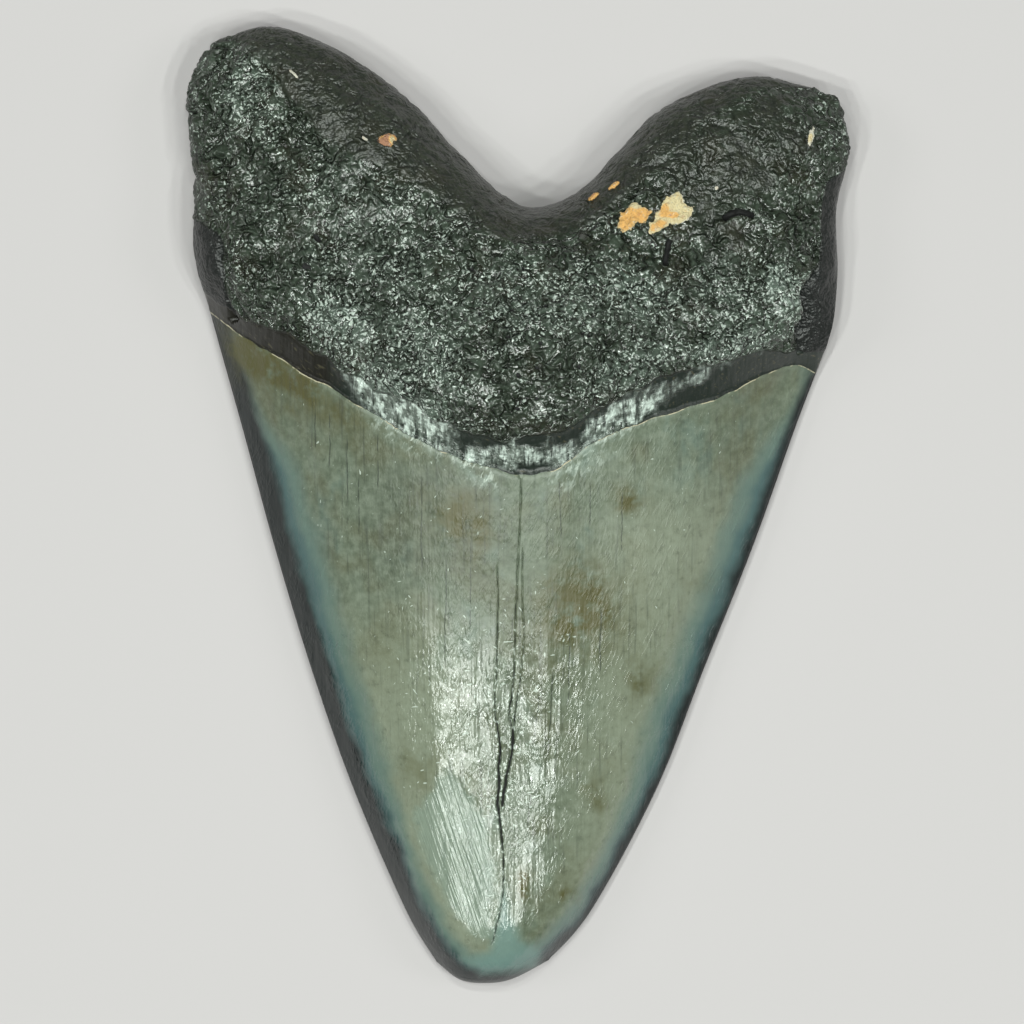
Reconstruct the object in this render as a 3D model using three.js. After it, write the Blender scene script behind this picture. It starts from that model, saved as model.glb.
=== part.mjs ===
// A fossil megalodon tooth, lying on its flat labial face with its convex lingual face up.
// Millimetres, +Z up. The tip points along -Y and the two root lobes along +Y. The origin is
// the middle of the box that the tooth fits in, at the surface that it lies on.
//
// The tooth is one solid. Its surface is two grids of the same size, the lingual one above and
// the labial one below, which share the rim: the root's crest, both flanks and the tip. Rows
// run across the tooth, and columns run from the crest to the tip.

import * as THREE from "three";
import { mergeVertices } from "three/addons/utils/BufferGeometryUtils.js";

// Driving dimensions.
const TOOTH_WIDTH = 89.2;
const TOOTH_LENGTH = 128.9;
const TOOTH_THICKNESS = 25;

// Heights of the rim above the surface that the tooth lies on.
const ROOT_RIM_HEIGHT = 6.5;
const CROWN_RIM_HEIGHT = 2.4;
const TIP_RIM_HEIGHT = 3.0;

// How far the lingual face stands above the rim.
const LOBE_RELIEF = 9.6;
const LOBE_END_DROP = { depth: 3.0, from: 42, to: 66 };
const BULGE_RELIEF = TOOTH_THICKNESS - ROOT_RIM_HEIGHT - LOBE_RELIEF;
const BULGE = { x: 0, y: 14.5, spreadX: 26, spreadY: 17 };
const CROWN_BASE_RELIEF = 17.4;
const CROWN_TIP_RELIEF = 7.4;
const CROWN_SAG = 1.6;

// How far the labial face stands below the rim. What would pass z = 0 is worn flat there.
const ROOT_LABIAL_DEPTH = 7.1;
const CROWN_LABIAL_DEPTH = 2.9;
const LABIAL_HOLLOW = { x: 1, y: 30, spreadX: 13, spreadY: 15, depth: 2.2 };

// How full each cross-section is between the flanks: 2 is a round arch, and more is boxier.
const FULLNESS = { rootLingual: 3.2, rootLabial: 5, crownLingual: 2.3, crownLabial: 3 };

// Rounding of the rim, and the steps at the dark band between root and enamel.
const CREST_RADIUS = { lingual: 8.5, labial: 5.5 };
const TIP_ROUNDING = 0.13;
const NECK = { above: 7, below: 2 };
const BAND_DEPTH = 0.7;
const ENAMEL_STEP = 0.35;
const STEP_WIDTH = 0.6;

// Grid size, and how strongly rows and columns crowd towards the rim, from 0 to 1.
const COLUMNS = 42;
const ROOT_ROWS = 14;
const BAND_ROWS = 2;
const CROWN_ROWS = 24;
const CROWDING = { flanks: 0.8, crest: 0.75, tip: 0.85 };
const CREST_SAMPLES = 240;
const BISECTIONS = 30;

/** A smooth plane curve through points, in order. */
const curve = (points) => new THREE.SplineCurve(points.map(([x, y]) => new THREE.Vector2(x, y)));

// The rim, as four curves: the crest round both lobes and the notch between them, the two
// flanks from the lobes' shoulders to the tip, and the worn tip.
const LEFT_SHOULDER = [-43.3, 60.3];
const RIGHT_SHOULDER = [42.6, 55.3];
const TIP_LEFT = [-11.3, -61.5];
const TIP_RIGHT = [3.8, -61.3];

const crest = curve([
  LEFT_SHOULDER, [-40.3, 62.9], [-32.5, 64.5], [-25, 61.7], [-18.4, 57.6], [-11.5, 51.3],
  [-4.6, 44.1], [2, 40.5], [8.7, 43.3], [13.5, 48.8], [20, 54.3], [30, 58.2], [37, 57.2],
  RIGHT_SHOULDER,
]);
const leftFlank = curve([
  LEFT_SHOULDER, [-44.8, 54], [-43.7, 43], [-43.9, 34.7], [-42, 26.6], [-37.5, 10.4],
  [-33.1, -5.8], [-28.2, -22], [-22.5, -38.2], [-15.5, -54.4], TIP_LEFT,
]);
const rightFlank = curve([
  RIGHT_SHOULDER, [44.4, 48.5], [42.6, 40.5], [42.8, 31.5], [41.5, 22.6], [37.1, 10.4],
  [31.3, -5.8], [24.8, -22], [18.4, -38.2], [9.7, -54.4], TIP_RIGHT,
]);
const tip = curve([TIP_LEFT, [-8.2, -63.9], [-4.7, -64.4], [-1, -63.8], TIP_RIGHT]);

/** The point of a flank at height y. Both flanks run steadily down. */
function flankAt(flank, y) {
  let above = 0;
  let below = 1;
  for (let i = 0; i < BISECTIONS; i++) {
    const middle = (above + below) / 2;
    if (flank.getPoint(middle).y > y) above = middle;
    else below = middle;
  }
  return flank.getPoint((above + below) / 2);
}

/** A curve across the tooth, from one height on the left flank to another on the right one. */
function across(leftY, points, rightY) {
  const start = flankAt(leftFlank, leftY).toArray();
  const end = flankAt(rightFlank, rightY).toArray();
  return curve([start, ...points, end]);
}

// On each face, the root's lower edge and, past a dark band, the enamel's upper edge.
const lingualEdges = {
  root: across(29, [
    [-37.4, 25.1], [-31.5, 23.2], [-22.5, 17.4], [-13, 12.7], [-3.8, 8.9], [4.5, 9.9],
    [16.5, 16.1], [31.3, 20.4],
  ], 21),
  enamel: across(26.5, [
    [-36.3, 22.4], [-24.7, 15.5], [-12.8, 8.6], [-3.4, 5], [3.6, 4.7], [11.5, 9.5],
    [24.3, 13.9], [35.8, 18.8],
  ], 18.2),
};
const labialEdges = {
  root: across(29, [[-34, 24.5], [-20, 20.2], [0, 18.4], [20, 18.6], [34, 20.3]], 21),
  enamel: across(26.5, [[-34, 22.3], [-20, 18], [0, 16.2], [20, 16.4], [34, 18]], 18.2),
};

const mix = THREE.MathUtils.lerp;
const { smoothstep } = THREE.MathUtils;
const bell = (offset, spread) => Math.exp(-((offset / spread) ** 2));
const mound = (p, { x, y, spreadX, spreadY }) => bell(p.x - x, spreadX) * bell(p.y - y, spreadY);

/** A grid point between two curves across the tooth: u runs along them, t between them. */
function between(upper, lower, u, t) {
  const straight = (share) => upper.getPointAt(share).lerp(lower.getPointAt(share), t);
  const left = straight(0);
  const right = straight(1);
  const leftPull = flankAt(leftFlank, left.y).sub(left);
  const rightPull = flankAt(rightFlank, right.y).sub(right);
  return straight(u).addScaledVector(leftPull, 1 - u).addScaledVector(rightPull, u);
}

/** How far p lies below a curve across the tooth, at share u along it. */
function distanceBelow(line, u, p) {
  const q = line.getPointAt(u);
  return Math.sign(q.y - p.y) * q.distanceTo(p);
}

/** Rows from crest to tip: the curves that each lies between, and its shares of the way. */
function rowsFor({ root, enamel }) {
  const rows = [];
  for (let i = 0; i < ROOT_ROWS; i++) {
    const even = i / ROOT_ROWS;
    rows.push({ upper: crest, lower: root, t: mix(even, even ** 2, CROWDING.crest), down: 0 });
  }
  for (let i = 0; i < BAND_ROWS; i++) {
    rows.push({ upper: root, lower: enamel, t: i / BAND_ROWS, down: 0 });
  }
  for (let i = 0; i <= CROWN_ROWS; i++) {
    const even = i / CROWN_ROWS;
    const down = mix(even, Math.sin((even * Math.PI) / 2), CROWDING.tip);
    rows.push({ upper: enamel, lower: tip, t: down, down });
  }
  return rows;
}

/** Where a column lies, from -1 on the left flank to 1 on the right one. */
function sideOf(column) {
  const even = (2 * column) / COLUMNS - 1;
  return mix(even, Math.sin((even * Math.PI) / 2), CROWDING.flanks);
}

const crestPoints = crest.getSpacedPoints(CREST_SAMPLES);
const crestDistance = (p) => Math.min(...crestPoints.map((c) => c.distanceTo(p)));

/** Quarter-circle rounding: 0 at the rim, 1 at the radius and beyond. */
const rounded = (distance, radius) => Math.sqrt(1 - (1 - Math.min(distance / radius, 1)) ** 2);

/** Height of the rim: share is 0 on the root and 1 on the crown, down is 1 at the tip. */
function rimHeight(share, down) {
  return mix(ROOT_RIM_HEIGHT, mix(CROWN_RIM_HEIGHT, TIP_RIM_HEIGHT, down), share);
}

/** Height of the lingual face at p. */
function lingualHeight(p, side, down, belowRoot, belowEnamel) {
  const share = smoothstep(belowEnamel, -NECK.above, NECK.below);
  const lobeDrop = LOBE_END_DROP.depth * smoothstep(p.y, LOBE_END_DROP.from, LOBE_END_DROP.to);
  const rootProfile = Math.sqrt(1 - Math.abs(side) ** FULLNESS.rootLingual);
  const root = (LOBE_RELIEF - lobeDrop + BULGE_RELIEF * mound(p, BULGE))
    * rootProfile * rounded(crestDistance(p), CREST_RADIUS.lingual);
  const crownProfile = 1 - Math.abs(side) ** FULLNESS.crownLingual;
  const tipRounding = rounded(1 - down, TIP_ROUNDING);
  const ridge = mix(CROWN_BASE_RELIEF, CROWN_TIP_RELIEF, down) - CROWN_SAG * Math.sin(Math.PI * down);
  const crown = ridge * crownProfile * tipRounding;
  const onEnamel = smoothstep(belowEnamel, -STEP_WIDTH, 0);
  const inBand = smoothstep(belowRoot, -STEP_WIDTH, STEP_WIDTH) * (1 - onEnamel);
  const steps = (ENAMEL_STEP * onEnamel * tipRounding - BAND_DEPTH * inBand) * crownProfile;
  return rimHeight(share, down) + mix(root, crown, share) + steps;
}

/** Height of the labial face at p, worn flat where it touches the surface below. */
function labialHeight(p, side, down, belowEnamel) {
  const share = smoothstep(belowEnamel, -NECK.above, NECK.below);
  const rootProfile = Math.sqrt(1 - Math.abs(side) ** FULLNESS.rootLabial);
  const root = ROOT_LABIAL_DEPTH * rootProfile * rounded(crestDistance(p), CREST_RADIUS.labial);
  const crownProfile = 1 - Math.abs(side) ** FULLNESS.crownLabial;
  const crown = CROWN_LABIAL_DEPTH * crownProfile * rounded(1 - down, TIP_ROUNDING);
  const hollow = LABIAL_HOLLOW.depth * mound(p, LABIAL_HOLLOW) * rootProfile;
  return Math.max(0, rimHeight(share, down) - mix(root, crown, share) + hollow);
}

/** One face as a grid of points, rows from crest to tip. */
function facePoints(edges, isLingual) {
  return rowsFor(edges).map(({ upper, lower, t, down }) =>
    Array.from({ length: COLUMNS + 1 }, (_, column) => {
      const side = sideOf(column);
      const u = (side + 1) / 2;
      const p = between(upper, lower, u, t);
      const belowRoot = distanceBelow(edges.root, u, p);
      const belowEnamel = distanceBelow(edges.enamel, u, p);
      const z = isLingual
        ? lingualHeight(p, side, down, belowRoot, belowEnamel)
        : labialHeight(p, side, down, belowEnamel);
      return new THREE.Vector3(p.x, p.y, z);
    }),
  );
}

/** The rim belongs to both faces, so the labial grid takes the lingual grid's rim points. */
function shareRim(lingual, labial) {
  const lastRow = lingual.length - 1;
  lingual.forEach((row, i) => row.forEach((p, j) => {
    if (i === 0 || i === lastRow || j === 0 || j === COLUMNS) labial[i][j].copy(p);
  }));
}

/** Adds a grid's triangles to a list of positions, facing up or down. */
function addGrid(grid, facesUp, positions) {
  const add = (...corners) => {
    const ordered = facesUp ? corners : corners.reverse();
    ordered.forEach((p) => positions.push(p.x, p.y, p.z));
  };
  for (let i = 0; i + 1 < grid.length; i++) {
    for (let j = 0; j < COLUMNS; j++) {
      const [a, b, c, d] = [grid[i][j], grid[i][j + 1], grid[i + 1][j + 1], grid[i + 1][j]];
      add(a, d, c);
      add(a, c, b);
    }
  }
}

/** Fits a geometry to the driving dimensions, standing on z = 0 round the origin. */
function fitToSize(geometry) {
  geometry.computeBoundingBox();
  const drawn = geometry.boundingBox.getSize(new THREE.Vector3());
  geometry.scale(TOOTH_WIDTH / drawn.x, TOOTH_LENGTH / drawn.y, TOOTH_THICKNESS / drawn.z);
  geometry.computeBoundingBox();
  const centre = geometry.boundingBox.getCenter(new THREE.Vector3());
  geometry.translate(-centre.x, -centre.y, -geometry.boundingBox.min.z);
}

function toothGeometry() {
  const lingual = facePoints(lingualEdges, true);
  const labial = facePoints(labialEdges, false);
  shareRim(lingual, labial);
  const positions = [];
  addGrid(lingual, true, positions);
  addGrid(labial, false, positions);
  const geometry = new THREE.BufferGeometry();
  geometry.setAttribute("position", new THREE.Float32BufferAttribute(positions, 3));
  fitToSize(geometry);
  const merged = mergeVertices(geometry);
  merged.computeVertexNormals();
  return merged;
}

// The charcoal root and the grey-green enamel average out to this.
const fossil = new THREE.MeshStandardMaterial({
  name: "fossil",
  color: 0x565b54,
  roughness: 0.42,
  metalness: 0,
});

const tooth = new THREE.Mesh(toothGeometry(), fossil);
tooth.name = "tooth";

const part = new THREE.Group();
part.name = "megalodon_tooth";
part.add(tooth);

export default part;
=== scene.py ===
"""A fossil megalodon tooth, lying on its flat side on a pale floor.

The tooth's surface is made in millimetres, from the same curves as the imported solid, and then
fitted to that solid's box in metres. The lingual face, which is up, is a fine grid on the root
and a wider one on the crown. The labial face is one grid. Strips of triangles join them.
"""

import logging
import math
from collections.abc import Iterator
from dataclasses import dataclass, field
from enum import Enum
from functools import cached_property

import bmesh
import bpy
import numpy as np
from mathutils import Vector
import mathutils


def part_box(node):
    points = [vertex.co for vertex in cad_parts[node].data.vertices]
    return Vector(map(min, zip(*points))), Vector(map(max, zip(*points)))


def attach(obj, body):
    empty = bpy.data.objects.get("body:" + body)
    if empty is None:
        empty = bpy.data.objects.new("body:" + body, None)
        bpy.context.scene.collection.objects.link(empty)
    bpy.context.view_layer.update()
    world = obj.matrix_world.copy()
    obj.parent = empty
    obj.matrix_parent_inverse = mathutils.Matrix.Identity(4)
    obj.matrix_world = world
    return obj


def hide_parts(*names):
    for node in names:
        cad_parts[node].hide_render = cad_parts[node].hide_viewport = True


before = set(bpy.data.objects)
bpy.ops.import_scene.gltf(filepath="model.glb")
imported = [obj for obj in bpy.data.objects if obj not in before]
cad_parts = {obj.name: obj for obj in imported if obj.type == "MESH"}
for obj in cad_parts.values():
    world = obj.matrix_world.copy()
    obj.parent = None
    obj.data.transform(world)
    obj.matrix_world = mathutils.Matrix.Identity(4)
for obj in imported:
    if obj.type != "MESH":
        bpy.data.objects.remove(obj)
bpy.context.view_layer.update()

NODE = "tooth"
BODY = "root"
MM = 0.001
FAR = 9.0  # A distance in millimetres that is out of reach of every mark on the tooth

Points = tuple[tuple[float, float], ...]
Colour = tuple[float, float, float]
Fields = dict[str, np.ndarray]

log = logging.getLogger("tooth")


class Side(Enum):
    """The two faces of the tooth."""

    LINGUAL = 1
    LABIAL = -1


# ---------------------------------------------------------------- shares, steps and noise


def mix(low: float | np.ndarray, high: float | np.ndarray, share: float | np.ndarray) -> np.ndarray:
    """Blends from low to high by share."""
    return low + (high - low) * share


def step(value: np.ndarray, start: float, end: float) -> np.ndarray:
    """Rises smoothly from 0 where value is start to 1 where it is end.

    Args:
        value: Where to look.
        start: The value at and before which the step is 0.
        end: The value at and after which the step is 1.

    Returns:
        The step's height at each value.
    """
    share = np.clip((value - start) / (end - start), 0.0, 1.0)
    return share * share * (3.0 - 2.0 * share)


def bell(offset: np.ndarray, spread: float) -> np.ndarray:
    """Falls off smoothly from 1 at no offset."""
    return np.exp(-((offset / spread) ** 2))


def rounded(distance: np.ndarray, radius: float) -> np.ndarray:
    """Quarter-circle rounding: 0 at the rim, and 1 at the radius and beyond."""
    return np.sqrt(1.0 - (1.0 - np.clip(distance / radius, 0.0, 1.0)) ** 2)


@dataclass(frozen=True)
class Grain:
    """Smooth seeded noise over points in space.

    Attributes:
        seed: Which noise this is.
        pitch: The rough distance from one bump to the next, in millimetres.
        octaves: How many finer layers are added, each half as coarse and high as the last.
    """

    seed: int
    pitch: float
    octaves: int = 1

    @cached_property
    def table(self) -> tuple[np.ndarray, np.ndarray]:
        """A shuffled ring of numbers, and a direction for each.

        Returns:
            The ring of numbers, and the directions.
        """
        rng = np.random.default_rng(self.seed)
        directions = rng.normal(size=(256, 3))
        directions /= np.linalg.norm(directions, axis=1)[:, None]
        return rng.permutation(256), directions

    def layer(self, points: np.ndarray) -> np.ndarray:
        """One layer of noise on a lattice of whole numbers.

        Args:
            points: Places, with x, y and z last.

        Returns:
            A value for each place, mostly between -1 and 1.
        """
        order, directions = self.table
        cell = np.floor(points).astype(int)
        inside = points - cell
        fade = inside**3 * (inside * (inside * 6.0 - 15.0) + 10.0)
        total = np.zeros(points.shape[:-1])
        for corner in np.ndindex(2, 2, 2):
            at = cell + corner
            ring = order[(order[(order[at[..., 0] & 255] + at[..., 1]) & 255] + at[..., 2]) & 255]
            reach = np.sum(directions[ring] * (inside - corner), axis=-1)
            share = np.prod(np.where(corner, fade, 1.0 - fade), axis=-1)
            total += reach * share
        return 1.6 * total

    def at(self, points: np.ndarray) -> np.ndarray:
        """The noise at each place.

        Args:
            points: Places in millimetres, with x, y and z last.

        Returns:
            A value for each place, mostly between -1 and 1.
        """
        total = np.zeros(points.shape[:-1])
        scale, height = 1.0 / self.pitch, 1.0
        for octave in range(self.octaves):
            total += height * self.layer(points * scale + 17.3 * octave)
            scale *= 2.0
            height *= 0.5
        return total


def drifted(points: np.ndarray, reach: float, seed: int, pitch: float, octaves: int = 1) -> np.ndarray:
    """Moves places a little way along all three axes by noise.

    Args:
        points: Places in millimetres, with x, y and z last.
        reach: Roughly how far they move, in millimetres.
        seed: The first of the three noises' seeds.
        pitch: The noises' pitch.
        octaves: The noises' octaves.

    Returns:
        The moved places.
    """
    noises = [Grain(seed + axis, pitch, octaves).at(points) for axis in range(3)]
    return points + reach * np.stack(noises, axis=-1)


# ---------------------------------------------------------------- the outline and its lines


@dataclass(frozen=True)
class Line:
    """A smooth plane curve through points, in millimetres.

    Attributes:
        points: The points that it runs through, in order.
        ragged: How far it wanders from the smooth curve, up and down.
        seed: Which wandering it has.
    """

    points: Points
    ragged: float = 0.0
    seed: int = 0

    @cached_property
    def samples(self) -> np.ndarray:
        """Many points along the curve, one row each.

        Returns:
            Plane points, one row each.
        """
        given = np.array(self.points, float)
        ends = np.vstack([given[:1], given, given[-1:]])
        t = np.linspace(0.0, 1.0, 24, endpoint=False)[:, None]
        spans = [
            b + 0.5 * t * ((c - a) + t * ((2 * a - 5 * b + 4 * c - d) + t * (3 * b - a - 3 * c + d)))
            for a, b, c, d in zip(ends, ends[1:], ends[2:], ends[3:])
        ]
        line = np.vstack([*spans, given[-1:]])
        if self.ragged:
            place = np.column_stack([line, np.zeros(len(line))])
            wander = Grain(self.seed, 3.4, 4).at(place)
            calm = np.clip(np.minimum(line[:, 0] - line[0, 0], line[-1, 0] - line[:, 0]) / 4.0, 0, 1)
            line[:, 1] += self.ragged * wander * calm
        return line

    @cached_property
    def shares(self) -> np.ndarray:
        """The share of the whole length at each sample.

        Returns:
            One share for each sample, from 0 to 1.
        """
        lengths = np.linalg.norm(np.diff(self.samples, axis=0), axis=1)
        run = np.concatenate([[0.0], np.cumsum(lengths)])
        return run / run[-1]

    def at(self, share: np.ndarray) -> np.ndarray:
        """The points at shares of the curve's length."""
        columns = [np.interp(share, self.shares, self.samples[:, k]) for k in (0, 1)]
        return np.stack(columns, axis=-1)

    def at_height(self, y: np.ndarray) -> np.ndarray:
        """The points at heights y, on a curve that runs steadily down."""
        down = self.samples[::-1]
        return np.stack([np.interp(y, down[:, 1], down[:, 0]), y], axis=-1)

    def distance(self, places: np.ndarray) -> np.ndarray:
        """The distance from each place to the curve.

        Args:
            places: Plane points, with x and y last.

        Returns:
            One distance for each place, in millimetres.
        """
        flat = places.reshape(-1, 2)
        starts = self.samples[:-1]
        along = np.diff(self.samples, axis=0)
        squares = np.maximum(np.sum(along**2, axis=1), 1e-12)
        nearest = np.full(len(flat), np.inf)
        for start, step_along, square in zip(starts, along, squares):
            reach = flat - start
            share = np.clip(reach @ step_along / square, 0.0, 1.0)
            away = reach - share[:, None] * step_along
            nearest = np.minimum(nearest, np.einsum("ij,ij->i", away, away))
        return np.sqrt(nearest).reshape(places.shape[:-1])

    def below(self, places: np.ndarray) -> np.ndarray:
        """The distance of each place below the curve, and less than 0 above it."""
        height = np.interp(places[..., 0], self.samples[:, 0], self.samples[:, 1])
        return np.sign(height - places[..., 1]) * self.distance(places)


LEFT_SHOULDER = (-43.3, 60.3)
RIGHT_SHOULDER = (42.6, 55.3)
TIP_LEFT = (-11.3, -61.5)
TIP_RIGHT = (3.8, -61.3)

CREST = Line((
    LEFT_SHOULDER, (-40.3, 62.9), (-32.5, 64.5), (-25, 61.7), (-18.4, 57.6), (-11.5, 51.3),
    (-4.6, 44.1), (2, 40.5), (8.7, 43.3), (13.5, 48.8), (20, 54.3), (30, 58.2), (37, 57.2),
    RIGHT_SHOULDER,
))
LEFT_FLANK = Line((
    LEFT_SHOULDER, (-44.8, 54), (-43.7, 43), (-43.9, 34.7), (-42, 26.6), (-37.5, 10.4),
    (-33.1, -5.8), (-28.2, -22), (-22.5, -38.2), (-15.5, -54.4), TIP_LEFT,
))
RIGHT_FLANK = Line((
    RIGHT_SHOULDER, (44.4, 48.5), (42.6, 40.5), (42.8, 31.5), (41.5, 22.6), (37.1, 10.4),
    (31.3, -5.8), (24.8, -22), (18.4, -38.2), (9.7, -54.4), TIP_RIGHT,
))
TIP = Line((TIP_LEFT, (-8.2, -63.9), (-4.7, -64.4), (-1, -63.8), TIP_RIGHT))


def across(left_y: float, points: Points, right_y: float, ragged: float, seed: int) -> Line:
    """A line from one height on the left flank, through points, to another on the right flank.

    Args:
        left_y: Where it starts on the left flank.
        points: The points between the flanks.
        right_y: Where it ends on the right flank.
        ragged: How far it wanders.
        seed: Which wandering it has.

    Returns:
        The line.
    """
    start = tuple(LEFT_FLANK.at_height(np.array(left_y)))
    end = tuple(RIGHT_FLANK.at_height(np.array(right_y)))
    return Line((start, *points, end), ragged, seed)


@dataclass(frozen=True)
class Edges:
    """Where the root ends and the enamel starts on one face, with a dark band between them."""

    root: Line
    enamel: Line


EDGES = {
    Side.LINGUAL: Edges(
        root=across(29, (
            (-37.4, 25.1), (-31.5, 23.2), (-22.5, 17.4), (-13, 12.7), (-3.8, 8.9), (4.5, 9.9),
            (16.5, 16.1), (31.3, 20.4),
        ), 21, 0.7, 11),
        enamel=across(26.5, (
            (-36.3, 22.4), (-24.7, 15.5), (-12.8, 8.6), (-3.4, 5), (3.6, 4.7), (11.5, 9.5),
            (24.3, 13.9), (35.8, 18.8),
        ), 18.2, 0.35, 12),
    ),
    Side.LABIAL: Edges(
        root=across(29, ((-34, 24.5), (-20, 20.2), (0, 18.4), (20, 18.6), (34, 20.3)), 21, 0.5, 13),
        enamel=across(26.5, ((-34, 22.3), (-20, 18), (0, 16.2), (20, 16.4), (34, 18)), 18.2, 0.3, 14),
    ),
}


# ---------------------------------------------------------------- the smooth body


@dataclass
class Site:
    """Places on one face of the tooth, and where each lies.

    Attributes:
        side: Which face this is.
        points: Places in millimetres, rows by columns, with x, y and z last.
        across: From -1 at the left rim to 1 at the right one.
        down: 0 on the root, and from 0 to 1 down the crown.
        fields: Named values at each place. The finishes read some of them.
    """

    side: Side
    points: np.ndarray
    across: np.ndarray
    down: np.ndarray
    fields: Fields = field(default_factory=dict)

    @property
    def plan(self) -> np.ndarray:
        """The places seen from above."""
        return self.points[..., :2]


@dataclass(frozen=True)
class Chip:
    """A flat face broken off one side of the root.

    Attributes:
        edge: The break's inner edge, from the top down.
        outward: 1 where the rim is to the right of the edge and -1 where it is to the left.
        heights: The edge's height at its lowest, middle and highest y, in millimetres.
        roundness: How much steeper the face is at the rim than at its edge.
    """

    edge: Line
    outward: int
    heights: tuple[float, float, float] = (6.8, 10.4, 11.8)
    roundness: float = 2.6

    def past(self, site: Site) -> np.ndarray:
        """The distance of each place past the inner edge, and less than 0 before it.

        Args:
            site: Where to look.

        Returns:
            The distance at each place, in millimetres.
        """
        y = site.points[..., 1]
        x = self.edge.at_height(y)[..., 0] + 0.22 * Grain(41, 1.8, 3).at(site.points)
        top, low = self.edge.samples[0, 1], self.edge.samples[-1, 1]
        beyond = np.maximum(y - top, 0.0) + np.maximum(low - y, 0.0)
        return self.outward * (site.points[..., 0] - x) - 1.5 * beyond

    def cut(self, site: Site, rim: np.ndarray) -> None:
        """Lowers the places past the edge to a flat face, which ends at the rim's height.

        Args:
            site: The places to lower.
            rim: The rim's height at each place.
        """
        past = self.past(site)
        low, top = self.edge.samples[-1, 1], self.edge.samples[0, 1]
        edge_height = np.interp(site.points[..., 1], (low, mix(low, top, 0.4), top), self.heights)
        to_rim = site.fields["rim"]
        share = to_rim / np.maximum(to_rim + np.maximum(past, 0.0), 1e-6)
        flat = rim + (edge_height - rim) * (1.0 - (1.0 - share) ** self.roundness)
        broken = past > 0.0
        site.points[..., 2] = np.where(broken, np.minimum(site.points[..., 2], flat), site.points[..., 2])
        site.fields["chip"] = np.maximum(site.fields["chip"], step(past, -0.1, 0.2))


@dataclass(frozen=True)
class Body:
    """The smooth shape of the tooth, before any wear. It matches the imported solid."""

    thickness: float = 25.0
    root_rim: float = 6.5
    crown_rim: float = 2.4
    tip_rim: float = 3.0
    lobe_relief: float = 9.6
    lobe_end_drop: float = 3.0
    bulge_relief: float = 8.9
    crown_base_relief: float = 17.4
    crown_tip_relief: float = 7.4
    crown_sag: float = 1.6
    labial_root_depth: float = 7.1
    labial_crown_depth: float = 2.9
    labial_hollow: float = 2.2
    crest_radius_lingual: float = 8.5
    crest_radius_labial: float = 5.5
    tip_rounding: float = 0.13
    band_depth: float = 0.45
    enamel_step: float = 0.35
    chips: tuple[Chip, ...] = (
        Chip(Line((
            (40.9, 43.5), (40.4, 40.5), (40.1, 33.3), (38.9, 31.2), (37.5, 29.3), (37.5, 26.3),
            (36.7, 23.8), (37.3, 20.0),
        )), 1),
        Chip(Line(((-41.8, 37.5), (-39.8, 35.6), (-39.8, 32.1), (-39.2, 28.4), (-37.6, 25.4))), -1),
    )

    def rim_height(self, share: np.ndarray, down: np.ndarray) -> np.ndarray:
        """The rim's height, where share is 0 on the root and 1 on the crown."""
        return mix(self.root_rim, mix(self.crown_rim, self.tip_rim, down), share)

    def measure(self, site: Site) -> None:
        """Adds the distances to the lines of the tooth to a site's fields.

        Args:
            site: The places to measure.
        """
        edges = EDGES[site.side]
        fields = site.fields
        fields["below_root"] = edges.root.below(site.plan)
        fields["below_enamel"] = edges.enamel.below(site.plan)
        fields["crest"] = CREST.distance(site.plan)
        flanks = np.minimum(LEFT_FLANK.distance(site.plan), RIGHT_FLANK.distance(site.plan))
        fields["rim"] = np.minimum(np.minimum(flanks, fields["crest"]), TIP.distance(site.plan))
        fields["chip"] = np.zeros(site.across.shape)

    def raise_face(self, site: Site) -> None:
        """Sets the height of every place on a face.

        Args:
            site: The places to raise.
        """
        x, y = site.points[..., 0], site.points[..., 1]
        below_enamel = site.fields["below_enamel"]
        share = step(below_enamel, -7.0, 2.0)
        out = np.abs(site.across)
        tip = rounded(1.0 - site.down, self.tip_rounding)
        rim = self.rim_height(share, site.down)
        if site.side is Side.LINGUAL:
            bulge = self.bulge_relief * bell(x, 26.0) * bell(y - 14.5, 17.0)
            lobe = self.lobe_relief - self.lobe_end_drop * step(y, 42.0, 66.0)
            profile = np.sqrt(np.maximum(1.0 - out**3.2, 0.0))
            root = (lobe + bulge) * profile * rounded(site.fields["crest"], self.crest_radius_lingual)
            crown_profile = 1.0 - out**2.3
            ridge = mix(self.crown_base_relief, self.crown_tip_relief, site.down)
            ridge = ridge - self.crown_sag * np.sin(math.pi * site.down)
            crown = ridge * crown_profile * tip
            on_enamel = step(below_enamel, -0.15, 0.08)
            in_band = step(site.fields["below_root"], -0.5, 0.5) * (1.0 - on_enamel)
            steps = self.enamel_step * on_enamel * tip - self.band_depth * in_band
            site.points[..., 2] = rim + mix(root, crown, share) + steps * crown_profile
            for chip in self.chips:
                chip.cut(site, rim)
        else:
            hollow = self.labial_hollow * bell(x - 1.0, 13.0) * bell(y - 30.0, 15.0)
            profile = np.sqrt(np.maximum(1.0 - out**5, 0.0))
            root = self.labial_root_depth * profile
            root = root * rounded(site.fields["crest"], self.crest_radius_labial)
            crown = self.labial_crown_depth * (1.0 - out**3) * tip
            site.points[..., 2] = np.maximum(rim - mix(root, crown, share) + hollow * profile, 0.0)


# ---------------------------------------------------------------- relief on the smooth body


class Relief:
    """Something that raises or cuts the surface."""

    def height(self, site: Site) -> np.ndarray:
        """How far it raises the surface at each place, in millimetres."""
        raise NotImplementedError


def on_root(site: Site) -> np.ndarray:
    """1 on the root's rough skin and 0 below it."""
    return 1.0 - step(site.fields["below_root"], -0.25, 0.15)


def on_crown(site: Site) -> np.ndarray:
    """1 on the enamel and 0 above it."""
    return step(site.fields["below_enamel"], -0.1, 0.1)


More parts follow.
